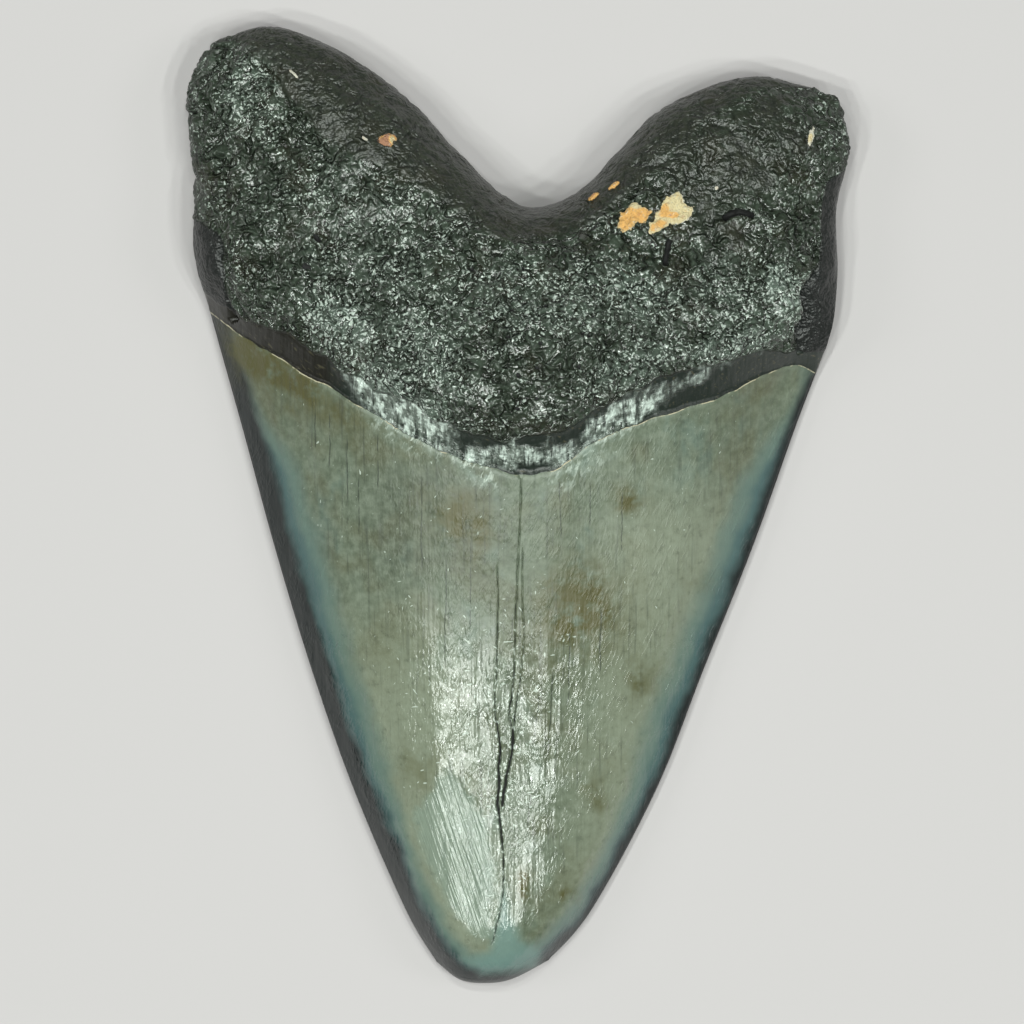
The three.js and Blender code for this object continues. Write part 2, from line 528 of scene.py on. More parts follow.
@dataclass(frozen=True)
class Spot:
    """An oval in plan: its centre, its two half sizes in millimetres, its turn and its strength."""

    x: float
    y: float
    long: float
    wide: float
    turn: float = 0.0
    strength: float = 1.0

    def reach(self, places: np.ndarray) -> np.ndarray:
        """0 in the middle of the oval, 1 on its edge and more outside it.

        Args:
            places: Places in millimetres, with x and y first.

        Returns:
            How far out each place is.
        """
        cos, sin = math.cos(math.radians(self.turn)), math.sin(math.radians(self.turn))
        dx, dy = places[..., 0] - self.x, places[..., 1] - self.y
        return np.hypot((dx * cos + dy * sin) / self.long, (dy * cos - dx * sin) / self.wide)


@dataclass(frozen=True)
class Skin(Relief):
    """The root's wrinkled skin: knobs with creases between them, and worm-like folds on those."""

    knob_height: float = 0.5
    knob_pitch: float = 4.6
    fold_height: float = 0.3
    fold_pitch: float = 1.5
    lump_height: float = 0.5
    lump_pitch: float = 11.0
    labial_share: float = 0.55
    worn_edge: Line = Line((
        (-39, 62.5), (-35.2, 60.0), (-31.5, 54.9), (-25.5, 48.2), (-18.7, 44.8), (-12, 41.4),
        (-5.2, 36.7), (0.2, 35.1), (5.6, 36), (11, 38.1), (16.4, 42.8), (21.8, 48.2), (27.2, 52.2),
        (34, 56.5),
    ))
    calm: Spot = Spot(28.0, 47.0, 15.0, 8.0, 22.0, 0.5)

    def roughness(self, site: Site) -> np.ndarray:
        """1 where the skin is rough, and less above the worn edge and in calmer patches.

        Args:
            site: Where to look.

        Returns:
            The roughness at each place.
        """
        worn = step(-self.worn_edge.below(site.plan), -1.2, 1.6) * 0.62
        calm = self.calm.strength * (1.0 - step(self.calm.reach(site.points), 0.5, 1.3))
        patches = 0.5 * Grain(21, 6.0, 2).at(site.points)
        return np.clip(1.0 - np.maximum(worn, calm) - np.maximum(patches, 0.0), 0.15, 1.0)

    def streaks(self, site: Site) -> np.ndarray:
        """Faint furrows that follow the crest.

        Args:
            site: Where to look.

        Returns:
            The furrows' height at each place, mostly between -1 and 1.
        """
        crest = site.fields["crest"]
        along = np.stack([crest, 0.12 * site.points[..., 0], 0.0 * crest], axis=-1)
        return Grain(29, 1.3, 2).at(along)

    def height(self, site: Site) -> np.ndarray:
        """The skin's height at each place. It also keeps its folds and its roughness as fields.

        Args:
            site: Where to look.

        Returns:
            The height at each place, in millimetres.
        """
        p = site.points
        bent = drifted(p, 0.6, 22, 2.6)
        knob = np.minimum(np.abs(Grain(26, self.knob_pitch).at(bent)) * 3.2, 1.0)
        fold = np.minimum(np.abs(Grain(25, self.fold_pitch).at(bent)) * 2.6, 1.0)
        fine = np.minimum(np.abs(Grain(27, self.fold_pitch * 0.55).at(bent)) * 2.2, 1.0)
        rough = self.roughness(site) * on_root(site) * (1.0 - 0.85 * site.fields["chip"])
        folds = 0.75 * fold + 0.25 * fine
        site.fields["fold"] = folds * mix(0.45, 1.0, knob)
        site.fields["rough"] = rough
        raised = self.fold_height * (folds - 0.6) + self.knob_height * (knob - 0.75)
        if site.side is Side.LABIAL:
            raised = self.labial_share * (raised - 0.3)
        lumps = self.lump_height * Grain(28, self.lump_pitch, 2).at(p) * on_root(site)
        inward = 0.0 if site.side is Side.LINGUAL else self.lump_height
        furrows = 0.16 * (1.0 - rough) * self.streaks(site) * on_root(site)
        calm = 1.0 - 0.7 * site.fields["chip"]
        return rough * raised + (lumps - inward * on_root(site) + furrows) * calm


@dataclass(frozen=True)
class Groove:
    """One groove or slit: its route in plan, its half width and its depth."""

    route: Points
    half_width: float
    depth: float

    def mask(self, site: Site) -> np.ndarray:
        """1 along the groove's bottom and 0 outside it."""
        near = Line(self.route).distance(site.plan)
        return 1.0 - step(near, 0.35 * self.half_width, self.half_width)


@dataclass(frozen=True)
class NutrientHoles(Relief):
    """The slits, pits and creases in the root's lingual skin."""

    slits: tuple[Groove, ...] = (
        Groove(((27.4, 38.6), (28.4, 39.2), (29.8, 39.4), (31.0, 39.0)), 0.54, 1.8),
        Groove(((19.9, 35.4), (19.6, 34.0), (19.3, 32.5)), 0.45, 1.2),
        Groove(((-27.4, 36.2), (-27.0, 35.6)), 0.42, 0.9),
        Groove(((-28.9, 32.2), (-28.2, 32.0)), 0.38, 0.7),
    )
    creases: tuple[Groove, ...] = (
        Groove(((-10.7, 27.3), (-9.9, 21.9), (-10.5, 17.8), (-9.2, 10.4)), 0.55, 0.5),
        Groove(((13.8, 23.9), (11.5, 20.9), (10.5, 18.2), (11.3, 16.5)), 0.5, 0.5),
        Groove(((19.6, 24.2), (22.4, 23.9), (22.9, 22.1)), 0.5, 0.4),
        Groove(((-34.9, 59.5), (-32.5, 56.0), (-30.0, 51.5), (-27.5, 48.5)), 1.1, 0.5),
        Groove(((-31.0, 30.5), (-28.0, 27.0), (-24.5, 24.5)), 0.5, 0.4),
        Groove(((25.0, 38.4), (26.5, 39.8), (29.8, 41.0), (33.2, 40.2)), 1.6, 0.45),
    )
    pinhole_radius: float = 0.34
    pinhole_depth: float = 0.6
    pinhole_count: int = 26

    def pinholes(self, site: Site) -> np.ndarray:
        """Small round holes scattered over the bulge.

        Args:
            site: Where to look.

        Returns:
            1 in the middle of a hole and 0 outside them all.
        """
        rng = np.random.default_rng(31)
        mask = np.zeros(site.across.shape)
        for _ in range(self.pinhole_count):
            x, y = rng.normal(2.0, 9.0), rng.normal(21.0, 6.0)
            radius = self.pinhole_radius * rng.uniform(0.7, 1.3)
            near = np.hypot(site.points[..., 0] - x, site.points[..., 1] - y)
            mask = np.maximum(mask, 1.0 - step(near, 0.3 * radius, radius))
        return mask

    def height(self, site: Site) -> np.ndarray:
        """The holes at each place. It also keeps where their painted shade goes as a field.

        Args:
            site: Where to look.

        Returns:
            The height at each place, in millimetres.
        """
        hole_shade = np.zeros(site.across.shape)
        cut = np.zeros(site.across.shape)
        if site.side is Side.LINGUAL:
            for groove in (*self.slits, *self.creases):
                mask = groove.mask(site)
                cut = np.maximum(cut, groove.depth * mask)
                if groove in self.slits:
                    hole_shade = np.maximum(hole_shade, mask)
            pins = self.pinholes(site)
            hole_shade = np.maximum(hole_shade, 0.8 * pins)
            cut = np.maximum(cut, self.pinhole_depth * pins)
        site.fields["hole_shade"] = hole_shade * on_root(site)
        return -cut * on_root(site)


@dataclass(frozen=True)
class Band(Relief):
    """The dark band between root and enamel, its ribs, and the silvery film round it. The film's strength
    also sets where a painted sheen lightens the band, the root and the enamel.
    """

    rib_height: float = 0.16
    film_height: float = 0.22
    # Where the film is: its crumples are real height, and its paler colour is a painted sheen.
    film_and_sheen: tuple[Spot, ...] = (
        Spot(-16.2, 14.0, 9.8, 4.0, -41.0, 1.0),
        Spot(-26.1, 22.3, 3.4, 2.0, -30.0, 0.6),
        Spot(-6.0, 6.6, 4.0, 1.9, -12.0, 0.75),
        Spot(-0.6, 6.8, 4.2, 1.7, 0.0, 0.9),
        Spot(4.8, 7.2, 4.0, 1.7, 12.0, 0.6),
        Spot(14.0, 12.2, 6.8, 1.9, 30.0, 1.0),
        Spot(23.0, 17.2, 6.4, 0.8, 24.0, 0.5),
        Spot(7.6, 6.8, 3.6, 1.6, 25.0, 0.6),
        Spot(-5.1, 4.0, 2.6, 2.2, -30.0, 0.8),
        Spot(8.5, 4.4, 5.5, 2.4, 25.0, 0.6),
        Spot(-36.0, 55.2, 4.4, 6.2, 0.0, 0.5),
        Spot(35.4, 29.4, 3.6, 3.2, 0.0, 1.3),
        Spot(36.0, 25.4, 1.8, 1.4, 0.0, 0.7),
        Spot(29.5, 28.0, 7.5, 5.5, 0.0, 0.45),
        Spot(28.5, 21.6, 7.5, 2.0, 18.0, 0.8),
        Spot(16.0, 28.0, 7.0, 4.0, -12.0, 0.65),
        Spot(1.5, 27.5, 15.0, 6.0, 0.0, 0.45),
        Spot(-20.0, 36.0, 14.0, 8.0, -30.0, 0.3),
        Spot(-24.0, 24.5, 6.5, 3.6, -35.0, 0.9),
        Spot(-12.5, 20.5, 8.0, 4.0, -38.0, 0.65),
        Spot(15.0, 18.5, 8.0, 3.0, 30.0, 0.6),
    )

    def height(self, site: Site) -> np.ndarray:
        """The ribs and the film at each place. It also keeps the film's strength as a field, which sets
        the painted sheen.

        Args:
            site: Where to look.

        Returns:
            The height at each place, in millimetres.
        """
        x = site.points[..., 0]
        wander = drifted(site.points, 0.9, 51, 2.2, 2)
        film_and_sheen = np.zeros(site.across.shape)
        for spot in self.film_and_sheen:
            film_and_sheen = np.maximum(film_and_sheen, spot.strength * (1.0 - step(spot.reach(wander), 0.45, 1.35)))
        inside = (1.0 - on_root(site)) * (1.0 - on_crown(site))
        if site.side is Side.LABIAL:
            film_and_sheen = film_and_sheen * 0.2 * inside
        site.fields["film_and_sheen"] = film_and_sheen
        upright = site.points * np.array([1.0, 0.12, 0.12])
        ribs = self.rib_height * Grain(54, 0.8, 2).at(upright) * bell(x + 1.0, 6.0)
        crumple = np.minimum(np.abs(Grain(55, 1.1, 2).at(wander)) * 2.4, 1.0)
        below = (1.0 - on_root(site)) * (1.0 - step(site.fields["below_enamel"], 0.3, 2.2))
        return ribs * inside + self.film_height * film_and_sheen * (crumple - 0.7) * below


@dataclass(frozen=True)
class Area:
    """An area in plan, inside a closed outline, and its strength."""

    outline: Points
    strength: float = 1.0

    def inside(self, site: Site) -> np.ndarray:
        """The distance of each place inside the area, and less than 0 outside it.

        Args:
            site: Where to look.

        Returns:
            The distance at each place, in millimetres.
        """
        x, y = site.points[..., 0], site.points[..., 1]
        closed = (*self.outline, self.outline[0])
        odd = np.zeros(x.shape, bool)
        nearest = np.full(x.shape, np.inf)
        for (ax, ay), (bx, by) in zip(closed, closed[1:]):
            along_x, along_y = bx - ax, by - ay
            odd ^= ((ay > y) != (by > y)) & (x < along_x * (y - ay) / (along_y + 1e-9) + ax)
            share = ((x - ax) * along_x + (y - ay) * along_y) / (along_x**2 + along_y**2)
            share = np.clip(share, 0.0, 1.0)
            nearest = np.minimum(nearest, np.hypot(x - ax - share * along_x, y - ay - share * along_y))
        return np.where(odd, nearest, -nearest)


@dataclass(frozen=True)
class Matrix(Relief):
    """Specks of cream and orange sediment stuck in the root's skin.

    Attributes:
        clumps: The largest specks. The strength of each is its tint, from 0 for orange to 1 for
            cream.
        specks: The smaller specks, with their tints.
        tints: Places inside the specks with a tint of their own.
        proud: How far they stand above the skin.
    """

    clumps: tuple[Area, ...] = (
        Area((
            (14.1, 39.9), (14.9, 40.5), (15.6, 40.4), (16.3, 39.9), (17.5, 39.3), (17.1, 38.7),
            (16.8, 37.9), (15.4, 37.7), (14.8, 37.0), (14.4, 36.7), (13.7, 36.6), (12.8, 37.2),
            (13.1, 38.3), (13.2, 39.3), (13.8, 39.5),
        ), 0.12),
        Area((
            (18.8, 40.5), (19.3, 41.2), (20.5, 41.8), (21.1, 41.9), (21.7, 41.5), (21.7, 40.6),
            (22.2, 40.1), (23.1, 40.0), (23.0, 38.8), (22.5, 38.3), (21.4, 37.7), (20.0, 37.6),
            (19.2, 37.3), (18.4, 36.7), (17.3, 36.3), (17.0, 36.8), (17.2, 37.9), (18.1, 38.3),
            (17.7, 38.9), (17.8, 39.3), (18.5, 39.6),
        ), 0.85),
    )
    specks: tuple[Spot, ...] = (
        Spot(12.6, 42.8, 0.8, 0.36, 42.0, -0.15),
        Spot(9.9, 41.3, 0.9, 0.3, 25.0, -0.3),
        Spot(38.9, 49.6, 0.45, 1.25, -10.0, 1.0),
        Spot(-17.7, 48.9, 1.25, 0.95, 0.0, -0.9),
        Spot(26.1, 42.5, 0.35, 0.3, 0.0, 1.3),
        Spot(-30.3, 57.9, 0.95, 0.2, -45.0, 1.6),
        Spot(-20.6, 49.0, 0.75, 0.2, -35.0, 1.6),
    )
    tints: tuple[Spot, ...] = (
        Spot(15.3, 40.0, 0.9, 0.5, 0.0, 0.75),
        Spot(19.1, 39.5, 0.8, 1.0, 0.0, 0.1),
        Spot(18.2, 37.4, 1.3, 0.9, 20.0, 0.35),
        Spot(20.4, 38.9, 0.7, 0.4, 0.0, -0.35),
        Spot(-17.1, 49.0, 0.4, 0.6, 0.0, 0.7),
    )
    proud: float = 0.34

    def height(self, site: Site) -> np.ndarray:
        """The specks at each place. It also keeps their tint, and where they are, as fields.

        Args:
            site: Where to look.

        Returns:
            The height at each place, in millimetres.
        """
        depth = np.full(site.across.shape, -FAR)
        tint = np.zeros(site.across.shape)
        if site.side is Side.LINGUAL:
            ragged = Grain(61, 0.9, 3).at(site.points)
            for clump in self.clumps:
                inside = clump.inside(site) + 0.22 * ragged
                tint = np.where(inside > depth, clump.strength, tint)
                depth = np.maximum(depth, inside)
            for speck in self.specks:
                size = max(min(speck.long, speck.wide), 0.6)
                inside = (1.0 - speck.reach(site.plan)) * size + 0.28 * ragged * min(size, 1.0)
                tint = np.where(inside > depth, speck.strength, tint)
                depth = np.maximum(depth, inside)
            for place in self.tints:
                tint = mix(tint, place.strength, 1.0 - step(place.reach(site.plan), 0.6, 1.3))
        site.fields["speck"] = np.clip(depth, -2.0, 2.0)
        site.fields["speck_tint"] = tint
        crumbs = 0.14 * Grain(62, 0.9, 2).at(site.points)
        return (self.proud + crumbs) * step(depth, -0.1, 0.5)


@dataclass(frozen=True)
class Cracks(Relief):
    """The cracks that run down the middle of the crown, and the ripples on its enamel."""

    main: Line = Line((
        (0.0, 5.4), (0.1, 2.3), (-0.2, -4.5), (-0.6, -15.1), (-1.0, -24.2), (-1.5, -27.6),
        (-0.9, -31.2), (-1.9, -36.4), (-2.4, -40.0),
    ))
    second: Line = Line((
        (0.3, -5.9), (0.3, -13.1), (0.5, -17.9), (0.1, -22.4), (-0.7, -27.6), (-1.1, -31.6),
    ))
    third: Line = Line((
        (-3.1, -8.2), (-3.0, -13.4), (-3.2, -21.9), (-3.4, -26.7), (-2.7, -31.9), (-2.9, -35.0),
        (-2.8, -37.0), (-3.0, -39.7), (-2.5, -43.9), (-2.2, -48.5), (-2.4, -52.5), (-3.2, -56.3),
        (-3.8, -58.7),
    ))
    half_width: float = 0.1
    depth: float = 0.6
    ripple: float = 0.06
    middle_ripple: float = 0.12

    def height(self, site: Site) -> np.ndarray:
        """The cracks and ripples at each place. It also keeps how near the cracks are as a field.

        Args:
            site: Where to look.

        Returns:
            The height at each place, in millimetres.
        """
        x, y = site.points[..., 0], site.points[..., 1]
        near = np.full(site.across.shape, FAR)
        if site.side is Side.LINGUAL:
            jitter = 0.09 * Grain(71, 1.2, 3).at(site.points)
            shifted = site.plan + np.stack([jitter, 0.0 * jitter], axis=-1)
            swell = 0.7 + 1.6 * bell(y + 37.0, 7.0) + 0.6 * Grain(72, 1.4, 2).at(site.points)
            for line, share in ((self.main, 1.0), (self.second, 0.8), (self.third, 1.0)):
                width = self.half_width * share * np.clip(swell, 0.45, 3.0)
                near = np.minimum(near, line.distance(shifted) / width)
        crown = on_crown(site)
        site.fields["crack"] = np.clip(np.where(crown > 0.5, near, FAR), 0.0, FAR)
        upright = site.points * np.array([1.0, 0.07, 0.07])
        middle = bell(x + 2.5, 13.0) * step(-y, -2.0, 16.0)
        ripples = mix(self.ripple, self.middle_ripple, middle) * Grain(73, 2.6, 2).at(upright)
        dents = 0.05 * Grain(74, 4.5, 2).at(site.points)
        calm = np.clip(site.fields["rim"] / 4.0, 0.0, 1.0)
        cut = self.depth * (1.0 - step(near, 0.2, 1.3))
        return crown * (calm * (ripples + dents) - cut)


@dataclass(frozen=True)
class Facets(Relief):
    """The flat, scratched face left of the crack near the tip, and the pale tip below it."""

    scratched: Area = Area((
        (-10.1, -33.5), (-12.3, -37.9), (-14.9, -40.9), (-13.0, -47.5), (-9.9, -53.9),
        (-6.8, -57.0), (-4.1, -59.1), (-2.9, -49.4), (-3.7, -44.0), (-5.1, -39.8), (-7.2, -37.1),
    ))
    pale: Area = Area((
        (-2.2, -49.0), (-1.0, -54.6), (0.6, -57.6), (3.4, -59.6), (2.6, -62.8), (-5.4, -63.2),
        (-8.4, -60.6), (-4.6, -59.3), (-3.2, -54.0),
    ))
    depth: float = 0.14

    def height(self, site: Site) -> np.ndarray:
        """The face at each place. It also keeps the distances inside both areas as fields.

        Args:
            site: Where to look.

        Returns:
            The height at each place, in millimetres.
        """
        if site.side is Side.LABIAL:
            site.fields["facet"] = np.full(site.across.shape, -FAR)
            site.fields["pale"] = np.full(site.across.shape, -FAR)
            return np.zeros(site.across.shape)
        ragged = 0.5 * Grain(81, 1.6, 3).at(site.points)
        inside = self.scratched.inside(site) + ragged
        site.fields["facet"] = np.clip(inside, -FAR, FAR)
        site.fields["pale"] = np.clip(self.pale.inside(site) + 0.5 * ragged, -FAR, FAR)
        return -self.depth * step(inside, 0.0, 1.2)


@dataclass(frozen=True)
class Stains:
    """Brown and yellow stains in the enamel."""

    spots: tuple[Spot, ...] = (
        Spot(0.2, -50.4, 1.2, 1.9, 0.0, 1.3),
        Spot(6.1, -52.2, 1.2, 1.0, 0.0, 1.0),
        Spot(10.6, -38.0, 1.4, 2.6, 0.0, 0.9),
        Spot(14.6, 0.8, 2.4, 1.6, -20.0, 1.1),
        Spot(8.0, -13.5, 5.2, 6.2, 0.0, 1.45),
        Spot(15.7, -22.7, 2.2, 3.0, 0.0, 0.85),
        Spot(-5.6, -3.3, 1.8, 3.4, 0.0, 1.3),
        Spot(24.3, -9.7, 2.6, 2.0, 0.0, 0.3),
        Spot(-8.4, -1.4, 2.6, 3.2, 0.0, 1.3),
        Spot(-12.0, -1.0, 4.0, 5.0, 0.0, 0.4),
        Spot(-18.9, -20.1, 4.5, 4.0, 0.0, 0.2),
        Spot(-13.5, -34.7, 3.0, 3.2, 0.0, 0.5),
        Spot(-30.5, 16.6, 6.5, 2.6, -38.0, 1.25),
        Spot(-23.5, 12.2, 5.0, 2.2, -32.0, 0.8),
        Spot(-35.5, 20.6, 4.4, 2.8, -45.0, 1.6),
        Spot(-14.0, 7.6, 4.5, 2.0, -32.0, 0.45),
        Spot(30.0, 14.0, 6.0, 2.0, 22.0, 0.3),
    )

    def mark(self, site: Site) -> None:
        """Adds the stains' strength to a site's fields.

        Args:
            site: The places to mark.
        """
        wander = drifted(site.points, 1.3, 91, 3.0, 3)
        strength = np.zeros(site.across.shape)
        for spot in self.spots:
            strength = np.maximum(strength, spot.strength * np.exp(-(spot.reach(wander) ** 2)))
        site.fields["stain"] = strength if site.side is Side.LINGUAL else 0.6 * strength[:, ::-1]


RELIEFS: tuple[Relief, ...] = (Skin(), NutrientHoles(), Band(), Matrix(), Cracks(), Facets())


# ---------------------------------------------------------------- grids and the mesh


@dataclass(frozen=True)
class Rows:
    """The rows of a grid: the span of the tooth that each is in, and its share of that span.

    Attributes:
        span: 0 from the crest to the root's edge, 1 to the enamel's edge, and 2 to the tip.
        share: How far through the span each row is.
        marks: How far down the map each span starts, and where the last one ends.
    """

    span: np.ndarray
    share: np.ndarray
    marks: tuple[float, ...] = (0.0, 0.32, 0.38, 1.0)

    @property
    def down(self) -> np.ndarray:
        """0 on the root, and from 0 to 1 down the crown."""
        return np.where(self.span == 2, self.share, 0.0)

    @property
    def v(self) -> np.ndarray:
        """How far down the map each row is, from 0 to 1."""
        marks = np.array(self.marks)
        return mix(marks[self.span], marks[self.span + 1], self.share)


def crowd_start(even: np.ndarray) -> np.ndarray:
    """Crowds shares towards 0."""
    return mix(even, even**2, 0.6)


def crowd_end(even: np.ndarray) -> np.ndarray:
    """Crowds shares towards 1."""
    return mix(even, np.sin(even * math.pi / 2), 0.7)


def crowd_both(count: int, most: float) -> np.ndarray:
    """Shares from 0 to 1, crowded towards both."""
    even = np.linspace(-1.0, 1.0, count)
    return (mix(even, np.sin(even * math.pi / 2), most) + 1.0) / 2.0


def plan_between(side: Side, rows: Rows, u: np.ndarray) -> np.ndarray:
    """The plan of a grid: every row runs from flank to flank.

    Args:
        side: Which face the grid is on.
        rows: Its rows.
        u: The share across the tooth of each place, rows by columns.

    Returns:
        A plane point for each place.
    """
    edges = EDGES[side]
    lines = (CREST, edges.root, edges.enamel, TIP)
    plan = np.zeros((*u.shape, 2))
    for span in range(3):
        chosen = rows.span == span
        if not chosen.any():
            continue
        t = rows.share[chosen][:, None, None]
        share = u[chosen]
        upper, lower = lines[span], lines[span + 1]
        straight = mix(upper.at(share), lower.at(share), t)
        start = mix(upper.samples[0], lower.samples[0], t[:, 0])
        end = mix(upper.samples[-1], lower.samples[-1], t[:, 0])
        left = LEFT_FLANK.at_height(start[:, 1]) - start
        right = RIGHT_FLANK.at_height(end[:, 1]) - end
        plan[chosen] = (
            straight
            + left[:, None] * (1.0 - share)[..., None]
            + right[:, None] * share[..., None]
        )
    return plan


@dataclass
class Patch:
    """A finished grid: its places after relief, its fields and its place on the map."""

    site: Site
    uv: np.ndarray
    first: int = 0

    @property
    def index(self) -> np.ndarray:
        """The number of each of its vertices in the mesh."""
        rows, columns = self.site.across.shape
        return self.first + np.arange(rows * columns).reshape(rows, columns)


@dataclass(frozen=True)
class Sculptor:
    """Makes the tooth's grids and joins them in one closed mesh.

    Attributes:
        root_rows: Rows from the crest to the root's edge.
        band_rows: Rows from there to the enamel's edge.
        fine_columns: Columns on the lingual root.
        crown_rows: Rows down the lingual crown.
        side_columns: Columns on each side of the cracks, on the lingual crown.
        crack_columns: Columns over the cracks.
        crack_reach: Half the width over which those columns crowd.
        crack_heights: Some heights y down the crown.
        crack_middles: The x of the middle of the cracks at each of those heights.
        labial_rows: Rows on each span of the labial face.
        labial_columns: Columns on the labial face.
    """

    root_rows: int = 138
    band_rows: int = 12
    fine_columns: int = 380
    crown_rows: int = 132
    side_columns: int = 55
    crack_columns: int = 46
    crack_reach: float = 2.4
    crack_heights: tuple[float, ...] = (-59.0, -46.0, -33.0, -18.0, -7.0, 4.6)
    crack_middles: tuple[float, ...] = (-3.4, -2.6, -2.1, -1.6, -1.4, -0.6)
    labial_rows: tuple[int, int, int] = (44, 3, 74)
    labial_columns: int = 120
    body: Body = Body()

    def sculpt(self, side: Side, rows: Rows, u: np.ndarray) -> Patch:
        """Makes one grid with all its relief.

        Args:
            side: Which face it is on.
            rows: Its rows.
            u: The share across the tooth of each place.

        Returns:
            The grid.
        """
        plan = plan_between(side, rows, u)
        points = np.concatenate([plan, np.zeros((*u.shape, 1))], axis=-1)
        down = np.broadcast_to(rows.down[:, None], u.shape)
        site = Site(side, points, 2.0 * u - 1.0, down)
        self.body.measure(site)
        self.body.raise_face(site)
        total = sum(relief.height(site) for relief in RELIEFS)
        Stains().mark(site)
        normal = np.cross(np.gradient(points, axis=0), np.gradient(points, axis=1))
        normal /= np.maximum(np.linalg.norm(normal, axis=-1, keepdims=True), 1e-9)
        normal *= side.value
        site.points = points + normal * total[..., None]
        site.points[..., 2] = np.maximum(site.points[..., 2], 0.0)
        v = np.broadcast_to(rows.v[:, None], u.shape)
        return Patch(site, self.map_place(side, u, v))

    @staticmethod
    def map_place(side: Side, u: np.ndarray, v: np.ndarray) -> np.ndarray:
        """Where places lie on the map: the lingual face has its left half.

        Args:
            side: The face that they are on.
            u: Their shares across the tooth.
            v: Their shares down the map.

        Returns:
            The places on the map.
        """
        margin = 0.006
        start = margin if side is Side.LINGUAL else 0.5 + margin
        return np.stack([mix(start, start + 0.5 - 2 * margin, u), mix(1 - margin, margin, v)], -1)

    def lingual_root(self) -> Patch:
        """The fine grid from the crest to the enamel's edge.

        Returns:
            The grid.
        """
        root = crowd_start(np.arange(self.root_rows) / self.root_rows)
        band = np.arange(self.band_rows + 1) / self.band_rows
        span = np.repeat([0, 1], [len(root), len(band)])
        rows = Rows(span, np.concatenate([root, band]))
        u = crowd_both(self.fine_columns, 0.55)
        return self.sculpt(Side.LINGUAL, rows, np.tile(u, (len(span), 1)))

    def crack_middle(self, y: np.ndarray) -> np.ndarray:
        """Where the middle of the cracks is at heights y."""
        return np.interp(y, self.crack_heights, self.crack_middles)

    def lingual_crown(self) -> Patch:
        """The grid from below the enamel's edge to the tip, with columns crowded at the cracks.

        Returns:
            The grid.
        """
        share = crowd_end(np.arange(1, self.crown_rows + 1) / self.crown_rows)
        rows = Rows(np.full(self.crown_rows, 2), share)
        even = np.tile(np.linspace(0.0, 1.0, 400), (self.crown_rows, 1))
        plan = plan_between(Side.LINGUAL, rows, even)
        straight = np.linspace(0.0, 1.0, self.side_columns)
        outer = mix(straight, np.sin(straight * math.pi / 2), 0.45)
        inner = np.linspace(-1.0, 1.0, self.crack_columns + 2)[1:-1]
        u = np.zeros((self.crown_rows, 2 * self.side_columns + self.crack_columns))
        for i, line in enumerate(plan):
            middle = self.crack_middle(line[len(line) // 2, 1])
            reach = min(self.crack_reach, 0.3 * (line[-1, 0] - line[0, 0]) / 2)
            left = mix(middle - reach, line[0, 0], outer)[::-1]
            right = mix(middle + reach, line[-1, 0], outer)
            x = np.concatenate([left, middle + reach * inner, right])
            u[i] = np.interp(x, line[:, 0], even[i])
            u[i, 0], u[i, -1] = 0.0, 1.0
        return self.sculpt(Side.LINGUAL, rows, u)

    def labial(self) -> Patch:
        """The labial face's grid, which stops just inside the rim.

        Returns:
            The grid.
        """
        root, band, crown = self.labial_rows
        shares = [
            crowd_start(np.arange(1, root + 1) / (root + 1)),
            np.arange(band) / band,
            crowd_end(np.arange(crown) / crown),
        ]
        span = np.repeat([0, 1, 2], [len(part) for part in shares])
        rows = Rows(span, np.concatenate(shares))
        u = crowd_both(self.labial_columns + 2, 0.7)[1:-1]
        return self.sculpt(Side.LABIAL, rows, np.tile(u, (len(span), 1)))


def run_shares(points: np.ndarray) -> np.ndarray:
    """The share of its whole length at each point of a run of points.

    Args:
        points: The points, one row each.

    Returns:
        One share for each point, from 0 to 1.
    """
    lengths = np.linalg.norm(np.diff(points, axis=0), axis=1)
    run = np.concatenate([[0.0], np.cumsum(lengths)])
    return run / run[-1]


def stitch(a: np.ndarray, b: np.ndarray, points: np.ndarray) -> list[tuple[int, int, int]]:
    """Joins two runs of vertices with a strip of triangles.

    Args:
        a: Vertex numbers of one run.
        b: Vertex numbers of the other run, which goes the same way.
        points: Where every vertex is.

    Returns:
        The triangles, by vertex numbers.
    """
    share_a, share_b = run_shares(points[a]), run_shares(points[b])
    i, j, triangles = 0, 0, []
    while i + 1 < len(a) or j + 1 < len(b):
        ends_b = j + 1 == len(b)
        if ends_b or (i + 1 < len(a) and share_a[i + 1] <= share_b[j + 1]):
            triangles.append((int(a[i]), int(a[i + 1]), int(b[j])))
            i += 1
        else:
            triangles.append((int(a[i]), int(b[j + 1]), int(b[j])))
            j += 1
    return triangles


def quads(index: np.ndarray) -> np.ndarray:
    """The four-sided faces of a grid of vertex numbers."""
    corners = (index[:-1, :-1], index[1:, :-1], index[1:, 1:], index[:-1, 1:])
    return np.stack([corner.ravel() for corner in corners], axis=-1)


